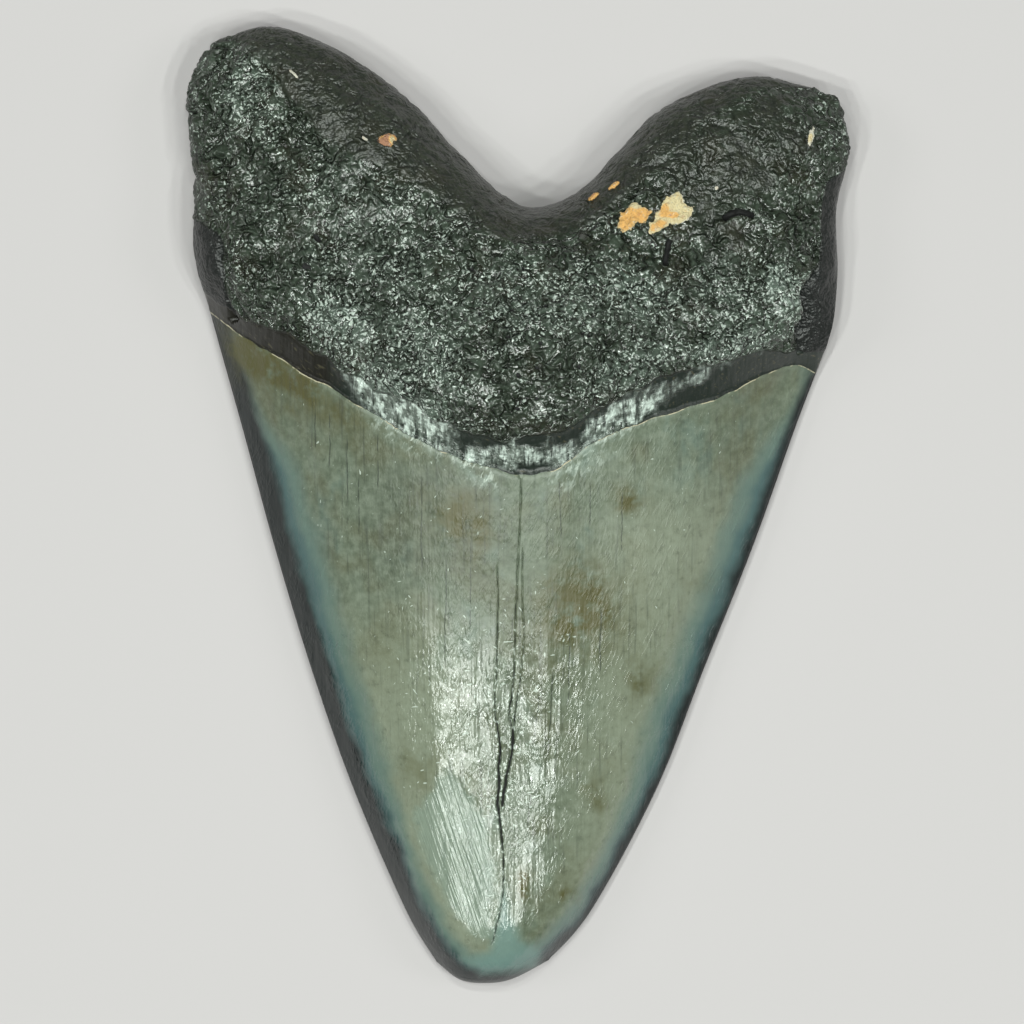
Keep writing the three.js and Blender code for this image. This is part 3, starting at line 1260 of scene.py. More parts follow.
@dataclass
class Tooth:
    """The whole tooth as one closed mesh, dressed in its finishes."""

    sculptor: Sculptor = field(default_factory=Sculptor)
    shaded: tuple[str, ...] = (
        "below_root", "below_enamel", "rim", "fold", "rough", "hole_shade", "chip", "film_and_sheen", "speck",
        "speck_tint", "crack", "facet", "pale", "stain",
    )

    def rim_sides(self, patches: list[Patch]) -> tuple[list[np.ndarray], list[np.ndarray]]:
        """The rim of the lingual face and the edge of the labial grid, as four runs each.

        Args:
            patches: The lingual root, the lingual crown and the labial face.

        Returns:
            The crest, right flank, tip and left flank of each, going round the same way.
        """
        root, crown, labial = (patch.index for patch in patches)
        rim = [
            root[0],
            np.concatenate([root[:, -1], crown[:, -1]]),
            crown[-1, ::-1],
            np.concatenate([crown[::-1, 0], root[::-1, 0]]),
        ]
        inner = [labial[0], labial[:, -1], labial[-1, ::-1], labial[::-1, 0]]
        return rim, inner

    def fit(self, points: np.ndarray) -> np.ndarray:
        """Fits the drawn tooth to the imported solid's box.

        Args:
            points: Places in millimetres.

        Returns:
            The same places in metres, in the frame.
        """
        low, high = (np.array(corner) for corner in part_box(NODE))
        outline = np.vstack([line.samples for line in (CREST, LEFT_FLANK, RIGHT_FLANK, TIP)])
        start = np.array([*outline.min(axis=0), 0.0])
        size = np.array([*np.ptp(outline, axis=0), self.sculptor.body.thickness])
        return low + (points - start) / size * (high - low)

    def build(self) -> bpy.types.Object:
        """Makes the mesh with its fields and its map.

        Returns:
            The tooth.
        """
        patches = [self.sculptor.lingual_root(), self.sculptor.lingual_crown(), self.sculptor.labial()]
        first = 0
        for patch in patches:
            patch.first = first
            first += patch.index.size
        points = np.vstack([patch.site.points.reshape(-1, 3) for patch in patches])
        faces = [tuple(face) for patch in patches for face in quads(patch.index).tolist()]
        faces += stitch(patches[0].index[-1], patches[1].index[0], points)
        body_faces = len(faces)
        for outer, inner in zip(*self.rim_sides(patches)):
            faces += stitch(outer, inner, points)
        mesh = bpy.data.meshes.new(NODE)
        mesh.from_pydata(self.fit(points).tolist(), [], faces)
        self.keep_fields(mesh, patches)
        self.keep_map(mesh, patches, body_faces)
        self.face_outwards(mesh)
        mesh.shade_smooth()
        tooth = bpy.data.objects.new("fossil_tooth", mesh)
        bpy.context.collection.objects.link(tooth)
        return tooth

    def keep_fields(self, mesh: bpy.types.Mesh, patches: list[Patch]) -> None:
        """Stores the fields that the finishes read on the mesh's vertices.

        Args:
            mesh: The tooth's mesh.
            patches: Its grids.
        """
        for name in self.shaded:
            values = np.concatenate([patch.site.fields[name].ravel() for patch in patches])
            layer = mesh.attributes.new(name, "FLOAT", "POINT")
            layer.data.foreach_set("value", values.astype(np.float32))

    def keep_map(self, mesh: bpy.types.Mesh, patches: list[Patch], body_faces: int) -> None:
        """Lays the tooth's surface out flat, the lingual face on the left and the labial on the right.

        Args:
            mesh: The tooth's mesh.
            patches: Its grids.
            body_faces: How many faces come before the strip along the rim.
        """
        uv = np.concatenate([patch.uv.reshape(-1, 2) for patch in patches])
        corners = np.zeros(len(mesh.loops), np.int32)
        mesh.loops.foreach_get("vertex_index", corners)
        places = uv[corners]
        starts = mesh.polygons[body_faces].loop_start
        labial_half = places[starts:, 0] < 0.5
        places[starts:, 0] += 0.5 * labial_half
        layer = mesh.uv_layers.new(name="OFBake")
        layer.data.foreach_set("uv", places.astype(np.float32).ravel())

    @staticmethod
    def face_outwards(mesh: bpy.types.Mesh) -> None:
        """Turns every face outwards.

        Args:
            mesh: The tooth's mesh.
        """
        shape = bmesh.new()
        shape.from_mesh(mesh)
        bmesh.ops.recalc_face_normals(shape, faces=shape.faces)
        shape.to_mesh(mesh)
        shape.free()

    def dress(self, tooth: bpy.types.Object) -> None:
        """Gives the tooth its finishes and its place in the frame.

        Args:
            tooth: The tooth.
        """
        tooth.data.materials.append(FossilSurface().material())
        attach(tooth, BODY)
        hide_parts(NODE)


# ---------------------------------------------------------------- finishes


def srgb(red: int, green: int, blue: int) -> Colour:
    """A colour as light, from its usual values of 0 to 255."""
    shares = (value / 255 for value in (red, green, blue))
    return tuple(s / 12.92 if s <= 0.04045 else ((s + 0.055) / 1.055) ** 2.4 for s in shares)


Socket = bpy.types.NodeSocket
Value = Socket | float


class Nodes:
    """A short way to add nodes to a material. Its places are in millimetres."""

    def __init__(self, material: bpy.types.Material) -> None:
        """Starts with the material's own tree.

        Args:
            material: The material to fill.
        """
        self.tree = material.node_tree
        self.tree.nodes.clear()
        metres = self.tree.nodes.new("ShaderNodeTexCoord").outputs["Object"]
        self.place = self.vector("SCALE", metres, Scale=1.0 / MM)
        parts = self.add("ShaderNodeSeparateXYZ", {0: self.place}).outputs
        self.x, self.y = parts["X"], parts["Y"]

    def add(self, kind: str, inputs: dict[str | int, object], **settings: object) -> bpy.types.Node:
        """Adds a node, sets it up and links or sets its inputs.

        Args:
            kind: The node's type.
            inputs: For each input's name or number, a socket to link or a value to set.
            **settings: The node's own settings.

        Returns:
            The node.
        """
        node = self.tree.nodes.new(kind)
        for name, value in settings.items():
            setattr(node, name, value)
        for name, value in inputs.items():
            if isinstance(value, bpy.types.NodeSocket):
                self.tree.links.new(value, node.inputs[name])
            else:
                node.inputs[name].default_value = value
        return node

    def vector(self, operation: str, a: Socket, **inputs: Value) -> Socket:
        """One step of arithmetic on a vector."""
        return self.add("ShaderNodeVectorMath", {0: a, **inputs}, operation=operation).outputs[0]

    def math(self, operation: str, a: Value, b: Value = 0.0, c: Value = 0.0) -> Socket:
        """One step of arithmetic."""
        return self.add("ShaderNodeMath", {0: a, 1: b, 2: c}, operation=operation).outputs[0]

    def times(self, *values: Value) -> Socket:
        """The product of several values.

        Args:
            *values: The values.

        Returns:
            Their product.
        """
        total = values[0]
        for value in values[1:]:
            total = self.math("MULTIPLY", total, value)
        return total

    def field(self, name: str) -> Socket:
        """A field stored on the tooth's vertices."""
        return self.add("ShaderNodeAttribute", {}, attribute_name=name).outputs["Fac"]

    def ramp(self, value: Value, start: float, end: float, top: Value = 1.0) -> Socket:
        """A smooth step from 0 where value is start to top where it is end.

        Args:
            value: What the step depends on.
            start: Where it starts.
            end: Where it ends.
            top: How high it is.

        Returns:
            The step.
        """
        inputs = {"Value": value, "From Min": start, "From Max": end, "To Max": top}
        node = self.add("ShaderNodeMapRange", inputs, interpolation_type="SMOOTHSTEP")
        return node.outputs["Result"]

    def between(self, share: Value, a: Value, b: Value) -> Socket:
        """Blends from value a to value b."""
        return self.add("ShaderNodeMix", {0: share, 2: a, 3: b}, data_type="FLOAT").outputs[0]

    def blend(self, share: Value, a: Socket | Colour, b: Socket | Colour) -> Socket:
        """Blends from colour a to colour b.

        Args:
            share: The share of b, from 0 to 1.
            a: The first colour.
            b: The second colour.

        Returns:
            The blend.
        """
        a, b = (c if isinstance(c, bpy.types.NodeSocket) else (*c, 1.0) for c in (a, b))
        node = self.add("ShaderNodeMix", {0: share, 6: a, 7: b}, data_type="RGBA")
        return node.outputs[2]

    def stretched(self, stretch: tuple[float, float, float], lean: float = 0.0) -> Socket:
        """The place on the tooth, turned by lean about Z and then divided by a stretch.

        Args:
            stretch: How far the pattern is drawn out along each axis.
            lean: The turn, in radians.

        Returns:
            The place.
        """
        turned = self.add(
            "ShaderNodeMapping", {"Vector": self.place, "Rotation": (0.0, 0.0, lean)}
        ).outputs["Vector"]
        scale = tuple(1.0 / s for s in stretch)
        return self.add("ShaderNodeMapping", {"Vector": turned, "Scale": scale}).outputs["Vector"]

    def noise(self, pitch: float, detail: float = 2.0, rough: float = 0.5,
              at: Socket | None = None, bend: float = 0.0) -> Socket:
        """Cloudy noise from 0 to 1.

        Args:
            pitch: The rough distance between its bumps, in millimetres.
            detail: How many finer layers it has.
            rough: How strong those layers are.
            at: The place to read it at, if not the plain one.
            bend: How far it is distorted.

        Returns:
            The noise.
        """
        inputs = {
            "Vector": at or self.place, "Scale": 1.0 / pitch, "Detail": detail,
            "Roughness": rough, "Distortion": bend,
        }
        return self.add("ShaderNodeTexNoise", inputs).outputs["Fac"]

    def billow(self, pitch: float, detail: float = 2.0, rough: float = 0.5,
               at: Socket | None = None, bend: float = 0.0) -> Socket:
        """Noise from 0 to about 1 with rounded tops and sharp valleys. See noise for its values."""
        swing = self.math("SUBTRACT", self.noise(pitch, detail, rough, at, bend), 0.5)
        return self.math("MULTIPLY", self.math("ABSOLUTE", swing), 5.0)

    def centred(self, value: Socket, height: float) -> Socket:
        """Turns noise from 0 to 1 into a swing of up to height each way."""
        return self.math("MULTIPLY_ADD", value, 2.0 * height, -height)


@dataclass
class Layer:
    """One finish as sockets: its colour, its roughness and its height in millimetres."""

    colour: Socket
    roughness: Socket
    height: Socket


@dataclass(frozen=True)
class Crumple:
    """The root's fine, glossy crumpling: wide folds with narrow creases on them, in millimetres."""

    fold_pitch: float = 1.5
    fold_height: float = 0.5
    crease_pitch: float = 0.8
    crease_height: float = 0.08
    clump_pitch: float = 4.0

    def tops(self, n: Nodes) -> tuple[Socket, Socket]:
        """The tops of the wide folds and of the narrow creases, from 0 to about 1."""
        return n.billow(self.fold_pitch, 1.0, 0.45, bend=0.7), n.billow(self.crease_pitch, 0.0)

    def height(self, n: Nodes, fold: Socket, crease: Socket) -> Socket:
        """Its height in millimetres, less in some patches.

        Args:
            n: The material's nodes.
            fold: The tops of the wide folds.
            crease: The tops of the narrow creases.

        Returns:
            The height.
        """
        clumps = n.ramp(n.noise(self.clump_pitch, 1.0, 0.5), 0.38, 0.62, 0.9)
        folds = n.math("MULTIPLY", fold, self.fold_height)
        height = n.math("MULTIPLY_ADD", crease, self.crease_height, folds)
        return n.math("MULTIPLY", height, n.math("ADD", clumps, 0.3))


@dataclass(frozen=True)
class RootFinish:
    """Charcoal root: glossy wrinkled skin, with painted shade in its creases, painted highlights on its
    fold tops, painted glints and sheen, and brownish in places.
    """

    skin: Colour = srgb(48, 56, 46)
    # The dark of the creases, a painted shade, which is also the dark of the worn grain.
    crease_shade_and_grain: Colour = srgb(26, 30, 23)
    # Lighter on the fold tops: a painted highlight.
    ridge: Colour = srgb(64, 74, 63)
    # Pale strokes on the skin: painted glints.
    painted_glint: Colour = srgb(202, 214, 204)
    worn: Colour = srgb(48, 51, 40)
    brown: Colour = srgb(44, 43, 30)
    # Black in the slits and pinholes: painted shade.
    chip: Colour = srgb(18, 22, 20)
    # Near black on the broken faces: partly their own dark and partly painted shade where they turn away
    # from the light.
    hole_shade: Colour = srgb(3, 3, 3)
    # A pale colour on the fold tops where the film is: a painted sheen.
    film_and_sheen: Colour = srgb(128, 144, 134)
    dull_roughness: float = 0.42
    hole_roughness: float = 0.8
    worn_grain: float = 0.45
    crumple: Crumple = Crumple()

    def layer(self, n: Nodes) -> Layer:
        """Builds the finish.

        Args:
            n: The material's nodes.

        Returns:
            The finish.
        """
        rough, film_and_sheen, chip = n.field("rough"), n.field("film_and_sheen"), n.field("chip")
        fold, crease = self.crumple.tops(n)
        tops = n.math("MULTIPLY_ADD", n.field("fold"), 0.6, n.math("MULTIPLY", fold, 0.9))
        # Painted shade in the creases, and a painted highlight on the fold tops.
        colour = n.blend(n.ramp(tops, 0.1, 0.6), self.crease_shade_and_grain, self.skin)
        colour = n.blend(n.ramp(tops, 0.7, 1.2), colour, self.ridge)
        dull = n.ramp(rough, 0.8, 0.3)
        grain = n.noise(1.1, 2.0, 0.75)
        worn = n.blend(n.ramp(grain, 0.35, 0.65), self.crease_shade_and_grain, self.worn)
        colour = n.blend(n.times(dull, 0.8), colour, worn)
        rust = n.times(n.ramp(n.noise(6.0, 4.0, 0.65), 0.5, 0.68), 0.55)
        colour = n.blend(rust, colour, self.brown)
        # Where the painted glints go: on the tops of fine folds, in clumps, and more where the film is.
        sparkle = n.billow(0.55, 1.0, 0.5, bend=0.7)
        clumps = n.math("MULTIPLY_ADD", film_and_sheen, 0.3, n.noise(2.4, 3.0, 0.6))
        lowest = n.math("MULTIPLY_ADD", film_and_sheen, -0.3, 0.62)
        glint_share = n.times(n.ramp(sparkle, lowest, 1.0), n.ramp(clumps, 0.42, 0.62, 0.9))
        glint_share = n.times(glint_share, n.ramp(rough, 0.3, 0.9), n.math("MULTIPLY_ADD", film_and_sheen, 0.3, 0.8))
        colour = n.blend(glint_share, colour, self.painted_glint)
        # Painted sheen on the fold tops where the film is.
        painted_sheen = n.times(film_and_sheen, n.ramp(tops, 0.25, 0.8), 0.3)
        colour = n.blend(painted_sheen, colour, self.film_and_sheen)
        # Near black on the broken faces: partly their own dark and partly painted shade.
        colour = n.blend(chip, colour, self.chip)
        # Painted shade in the slits and pinholes.
        hole_shade = n.ramp(n.field("hole_shade"), 0.2, 0.5)
        colour = n.blend(hole_shade, colour, self.hole_shade)
        roughness = n.math("MULTIPLY_ADD", n.noise(1.4, 2.0), 0.2, 0.06)
        roughness = n.between(dull, roughness, self.dull_roughness)
        roughness = n.between(chip, roughness, self.dull_roughness)
        roughness = n.between(hole_shade, roughness, self.hole_roughness)
        height = self.crumple.height(n, fold, crease)
        height = n.math("MULTIPLY", height, n.math("MULTIPLY_ADD", rough, 0.9, 0.1))
        height = n.math("MULTIPLY_ADD", grain, n.times(dull, self.worn_grain), height)
        height = n.times(height, n.math("SUBTRACT", 1.0, hole_shade))
        return Layer(colour, roughness, height)


@dataclass(frozen=True)
class BandFinish:
    """The band between root and enamel: near black, with a painted silvery sheen where its film is."""

    dark: Colour = srgb(24, 23, 15)
    blue: Colour = srgb(28, 37, 31)
    # The film's dim and bright colours: a painted silvery sheen, with streaks in it.
    dim_sheen: Colour = srgb(104, 113, 105)
    film_and_sheen: Colour = srgb(214, 228, 219)
    scratch: Colour = srgb(84, 80, 60)

    def layer(self, n: Nodes) -> Layer:
        """Builds the finish.

        Args:
            n: The material's nodes.

        Returns:
            The finish.
        """
        from_left = n.math("ADD", n.x, n.centred(n.noise(3.0), 3.0))
        colour = n.blend(n.ramp(from_left, -26.0, -22.5), self.dark, self.blue)
        scratches = n.noise(0.4, 1.0, at=n.stretched((7.0, 1.0, 1.0), math.radians(28.0)))
        colour = n.blend(n.ramp(scratches, 0.62, 0.75, 0.6), colour, self.scratch)
        foil = n.noise(1.3, 2.0, 0.62)
        ragged = n.centred(n.noise(0.9, 3.0, 0.6), 0.35)
        # How much of the painted sheen covers the band.
        shine = n.ramp(n.math("ADD", n.field("film_and_sheen"), ragged), 0.1, 0.95)
        strokes = n.noise(0.8, 2.0, 0.6, at=n.stretched((1.0, 2.2, 2.2)))
        painted_sheen = n.blend(n.ramp(strokes, 0.4, 0.68), self.dim_sheen, self.film_and_sheen)
        ribs = n.noise(0.5, 1.0, 0.5, at=n.stretched((1.0, 7.0, 7.0)))
        painted_sheen = n.blend(n.ramp(ribs, 0.56, 0.66, 0.8), painted_sheen, self.blue)
        colour = n.blend(n.times(shine, n.ramp(foil, 0.25, 0.45)), colour, painted_sheen)
        roughness = n.math("MULTIPLY_ADD", shine, -0.2, 0.4)
        height = n.times(foil, n.math("MULTIPLY_ADD", shine, 1.0, 0.08))
        height = n.math("MULTIPLY_ADD", ribs, 0.08, height)
        return Layer(colour, roughness, height)


@dataclass(frozen=True)
class Hairline:
    """A fine dark line down the enamel, in millimetres."""

    top: tuple[float, float]
    bottom: tuple[float, float]
    half_width: float = 0.07

    def mask(self, n: Nodes, waver: Socket) -> Socket:
        """1 on the line and 0 off it.

        Args:
            n: The material's nodes.
            waver: A small sideways swing.

        Returns:
            The mask.
        """
        slope = (self.top[0] - self.bottom[0]) / (self.top[1] - self.bottom[1])
        line = n.math("MULTIPLY_ADD", n.y, slope, self.top[0] - slope * self.top[1])
        off = n.math("ABSOLUTE", n.math("SUBTRACT", n.math("ADD", n.x, waver), line))
        middle, half = (self.top[1] + self.bottom[1]) / 2, (self.top[1] - self.bottom[1]) / 2
        along = n.math("ABSOLUTE", n.math("SUBTRACT", n.y, middle))
        width = n.ramp(off, 1.6 * self.half_width, 0.4 * self.half_width)
        return n.times(width, n.ramp(along, half, 0.75 * half))


@dataclass(frozen=True)
class EnamelFinish:
    """Grey-green enamel, blue towards its edges and then painted shade at the rim, with streaks, stains,
    painted glints on scratches, a painted sheen under the band, and cracks.
    """

    grey: Colour = srgb(97, 108, 90)
    pale: Colour = srgb(110, 121, 104)
    brown: Colour = srgb(96, 100, 77)
    warm: Colour = srgb(137, 144, 125)
    fleck: Colour = srgb(150, 160, 142)
    stain: Colour = srgb(86, 84, 48)
    # haze: a cool tone in patches, and with blue the start of the painted shade towards the rim.
    haze: Colour = srgb(99, 122, 115)
    # Blue towards the rim: partly the edges' own tone and partly painted shade.
    blue: Colour = srgb(76, 102, 102)
    # The almost black at the rim: painted shade.
    shadow: Colour = srgb(20, 28, 28)
    # The enamel edge's thin pale line: a painted highlight.
    cream: Colour = srgb(196, 188, 160)
    streak: Colour = srgb(52, 59, 50)
    # Pale marks on the enamel: painted glints.
    painted_glint: Colour = srgb(206, 218, 206)
    # The dark line above the enamel's edge: a painted shadow.
    groove: Colour = srgb(30, 31, 25)
    hairline: Colour = srgb(50, 54, 46)
    crack: Colour = srgb(8, 9, 8)
    teal: Colour = srgb(132, 151, 139)
    tip: Colour = srgb(114, 142, 136)
    # A pale colour just under the band where the film is: a painted sheen.
    film_and_sheen: Colour = srgb(168, 184, 174)
    upper_roughness: float = 0.36
    lower_roughness: float = 0.1
    facet_roughness: float = 0.2
    crack_roughness: float = 0.8
    scratch_lean: float = math.radians(-19.0)
    hairlines: tuple[Hairline, ...] = (
        Hairline((4.66, -21.5), (3.85, -33.8), 0.09),
        Hairline((2.77, -24.8), (1.96, -31.7), 0.08),
        Hairline((1.55, -38.3), (1.15, -42.9)),
        Hairline((13.8, 2.3), (13.7, -6.5)),
        Hairline((5.3, 4.2), (5.6, -4.5)),
        Hairline((9.5, 3.1), (9.5, -2.8)),
        Hairline((11.0, -13.1), (10.9, -22.7), 0.08),
        Hairline((6.8, -16.0), (6.6, -27.0)),
        Hairline((-27.2, 12.8), (-27.2, 7.0)),
        Hairline((-25.2, 12.8), (-25.3, 5.0)),
        Hairline((-22.9, 9.6), (-22.8, 0.4)),
        Hairline((-21.3, 4.1), (-21.4, -3.8)),
        Hairline((-18.8, 10.0), (-18.7, 2.0)),
        Hairline((-12.9, 4.1), (-12.9, -9.0)),
        Hairline((-9.6, -6.0), (-9.9, -22.0)),
        Hairline((-6.3, -4.0), (-6.5, -17.0)),
    )

    def layer(self, n: Nodes) -> Layer:
        """Builds the finish.

        Args:
            n: The material's nodes.

        Returns:
            The finish.
        """
        ragged = n.centred(n.noise(1.6, 3.0, 0.6), 0.9)
        facet = n.ramp(n.math("ADD", n.field("facet"), ragged), -0.4, 1.2)
        broad = n.noise(9.0, 2.0, 0.6)
        mottle = n.noise(2.6, 3.0, 0.65)
        film_and_sheen = n.times(n.field("film_and_sheen"), n.ramp(n.field("below_enamel"), 4.0, 1.5))
        flecks = n.noise(1.1, 3.0, 0.6)
        colour = self.ground(n, broad, mottle)
        colour = n.blend(n.ramp(flecks, 0.4, 0.7, 0.28), colour, self.fleck)
        colour = n.blend(n.ramp(flecks, 0.45, 0.25, 0.3), colour, self.streak)
        colour = self.edge_colours(n, colour)
        colour = n.blend(n.times(n.field("stain"), n.ramp(mottle, 0.25, 0.6)), colour, self.stain)
        colour = self.lines(n, colour, broad)
        # Painted glints on short scratches.
        colour = n.blend(self.painted_glints(n), colour, self.painted_glint)
        colour = n.blend(n.times(facet, 0.5), colour, self.teal)
        colour = n.blend(n.ramp(n.field("pale"), -0.5, 1.6, 0.8), colour, self.tip)
        # Painted sheen, then painted glints in fibres, just under the band's edge.
        colour = n.blend(n.times(film_and_sheen, n.ramp(n.noise(1.4, 3.0), 0.35, 0.6), 0.6), colour, self.film_and_sheen)
        fibres = n.noise(0.5, 2.0, 0.65, at=n.stretched((1.0, 2.4, 2.4), 0.5))
        colour = n.blend(n.times(film_and_sheen, n.ramp(fibres, 0.5, 0.66)), colour, self.painted_glint)
        colour = self.margin(n, colour)
        # Painted glints in small beads beside the lower cracks.
        beside = n.times(n.ramp(n.field("crack"), 4.5, 1.5), n.ramp(n.y, -14.0, -24.0))
        bead_glints = n.ramp(n.math("MULTIPLY_ADD", beside, 0.14, n.noise(0.45, 0.0)), 0.72, 0.8)
        colour = n.blend(n.times(bead_glints, beside), colour, self.painted_glint)
        cracked = n.ramp(n.field("crack"), n.between(n.ramp(n.y, -4.0, -26.0), 0.7, 1.3), 0.3)
        colour = n.blend(cracked, colour, n.blend(n.ramp(n.y, -4.0, -26.0), self.hairline, self.crack))
        polish = n.between(n.ramp(n.y, -8.0, -24.0), self.upper_roughness, self.lower_roughness)
        satin = n.math("MULTIPLY_ADD", flecks, 0.2, polish)
        roughness = n.between(facet, satin, self.facet_roughness)
        roughness = n.between(cracked, roughness, self.crack_roughness)
        return Layer(colour, roughness, self.relief(n, facet))

    def ground(self, n: Nodes, broad: Socket, mottle: Socket) -> Socket:
        """The enamel's own mottled colour.

        Args:
            n: The material's nodes.
            broad: Wide clouds.
            mottle: Small clouds.

        Returns:
            The colour.
        """
        colour = n.blend(n.ramp(mottle, 0.35, 0.7), self.grey, self.pale)
        cool = n.noise(6.0, 3.0, 0.6, at=n.stretched((0.8, 1.6, 1.6)))
        colour = n.blend(n.ramp(cool, 0.52, 0.68, 0.4), colour, self.haze)
        colour = n.blend(n.ramp(broad, 0.45, 0.64, 0.8), colour, self.brown)
        aside = n.math("MULTIPLY_ADD", n.y, -0.12, n.math("ABSOLUTE", n.math("SUBTRACT", n.x, 1.0)))
        start = n.between(n.ramp(n.x, -5.0, 5.0), -8.0, 10.0)
        lower = n.ramp(n.math("SUBTRACT", n.y, start), 0.0, -16.0)
        colour = n.blend(n.times(n.ramp(aside, 6.0, 17.0, 0.8), lower), colour, self.warm)
        left = n.ramp(n.math("ABSOLUTE", n.math("ADD", n.x, 11.0)), 12.0, 4.0, 0.3)
        upper = n.ramp(n.math("ABSOLUTE", n.math("ADD", n.y, 1.0)), 13.0, 3.0)
        return n.blend(n.times(left, upper), colour, self.streak)

    def edge_colours(self, n: Nodes, colour: Socket) -> Socket:
        """Blue towards the rim, partly the enamel's own tone and partly painted shade, and then almost
        black, a painted shade where the surface turns away from the light. The right side's bands are
        narrower.

        Args:
            n: The material's nodes.
            colour: The colour so far.

        Returns:
            The colour.
        """
        narrower = n.ramp(n.x, -6.0, 8.0, 1.6)
        rim = n.math("ADD", n.field("rim"), n.math("SUBTRACT", narrower, 0.5))
        rim = n.math("ADD", rim, n.centred(n.noise(5.0, 2.0, 0.6), 1.1))
        wide = n.times(rim, n.between(n.ramp(n.y, -28.0, -52.0), 1.0, 1.5))
        wide = n.math("ADD", wide, n.ramp(n.y, 2.0, 16.0, 3.4))
        colour = n.blend(n.ramp(wide, 7.2, 4.2, 0.85), colour, self.haze)
        colour = n.blend(n.ramp(wide, 4.6, 2.9), colour, self.blue)
        return n.blend(n.ramp(rim, 3.2, 1.3), colour, self.shadow)

    def lines(self, n: Nodes, colour: Socket, broad: Socket) -> Socket:
        """Faint upright streaks, and the hairlines.

        Args:
            n: The material's nodes.
            colour: The colour so far.
            broad: Wide clouds.

        Returns:
            The colour.
        """
        streaks = n.noise(0.45, 2.0, 0.65, at=n.stretched((1.0, 22.0, 22.0)))
        faint = n.times(n.ramp(broad, 0.3, 0.6, 0.5), n.ramp(n.field("rim"), 4.0, 8.0))
        colour = n.blend(n.times(n.ramp(streaks, 0.5, 0.75), faint), colour, self.streak)
        waver = n.centred(n.noise(2.5, 2.0, 0.6), 0.25)
        total: Value = 0.0
        for hairline in self.hairlines:
            total = n.math("MAXIMUM", total, hairline.mask(n, waver))
        broken = n.ramp(n.noise(1.2, 2.0), 0.25, 0.5)
        return n.blend(n.times(total, broken, 0.75), colour, self.streak)

    def painted_glints(self, n: Nodes) -> Socket:
        """Painted glints along short scratches: a few everywhere, and more in some patches and in the
        middle.

        Args:
            n: The material's nodes.

        Returns:
            1 on the painted glints and 0 between them.
        """
        middle = n.ramp(n.math("ABSOLUTE", n.math("ADD", n.x, 3.0)), 15.0, 3.0, 0.09)
        middle = n.times(middle, n.ramp(n.y, -4.0, -22.0))
        patches = n.math("MULTIPLY_ADD", n.noise(4.0, 2.0), 0.08, middle)
        total: Value = 0.0
        for lean, pitch in ((78.0, 0.3), (40.0, 0.26), (-38.0, 0.26), (4.0, 0.24)):
            marks = n.noise(pitch, 0.0, 0.5, at=n.stretched((1.0, 3.6, 3.6), math.radians(lean)))
            total = n.math("MAXIMUM", total, n.ramp(n.math("ADD", marks, patches), 0.89, 0.95))
        return n.times(total, n.ramp(n.field("rim"), 4.5, 8.0, 0.75))

    def margin(self, n: Nodes, colour: Socket) -> Socket:
        """The broken cream line along the enamel's edge, a painted highlight, and the painted shadow in
        the groove above it.

        Args:
            n: The material's nodes.
            colour: The colour so far.

        Returns:
            The colour.
        """
        below = n.math("ADD", n.field("below_enamel"), n.centred(n.noise(1.0, 2.0), 0.05))
        # Painted shadow in the groove above the edge.
        groove = n.times(n.ramp(below, -0.2, -0.1), n.ramp(below, 0.02, -0.05))
        colour = n.blend(groove, colour, self.groove)
        # Painted highlight along the enamel's raised edge.
        edge = n.times(n.ramp(below, -0.05, 0.02), n.ramp(below, 0.17, 0.09))
        return n.blend(n.times(edge, n.ramp(n.noise(3.2, 3.0, 0.7), 0.46, 0.6)), colour, self.cream)

    def relief(self, n: Nodes, facet: Socket) -> Socket:
        """The enamel's fine height: crinkles, upright lines and the facet's scratches.

        Args:
            n: The material's nodes.
            facet: 1 on the scratched face and 0 outside it.

        Returns:
            The height.
        """
        patches = n.ramp(n.noise(3.4, 1.0, 0.6), 0.38, 0.6)
        grain = n.noise(0.42, 1.0, 0.6, at=n.stretched((1.0, 2.2, 2.2)))
        calm = n.math("SUBTRACT", 1.0, n.times(facet, 0.8))
        height = n.times(grain, calm, n.math("MULTIPLY_ADD", patches, 0.07, 0.03))
        upright = n.noise(0.6, 1.0, 0.6, at=n.stretched((1.0, 18.0, 18.0)))
        height = n.math("MULTIPLY_ADD", upright, 0.05, height)
        nicks = n.noise(0.3, 0.0, 0.5, at=n.stretched((1.0, 7.0, 7.0), math.radians(27.0)))
        height = n.math("MULTIPLY_ADD", n.times(patches, n.ramp(nicks, 0.58, 0.68)), 0.025, height)
        scratches = n.noise(0.34, 1.0, 0.6, at=n.stretched((1.0, 28.0, 28.0), self.scratch_lean))
        return n.math("MULTIPLY_ADD", n.times(scratches, facet), 0.14, height)


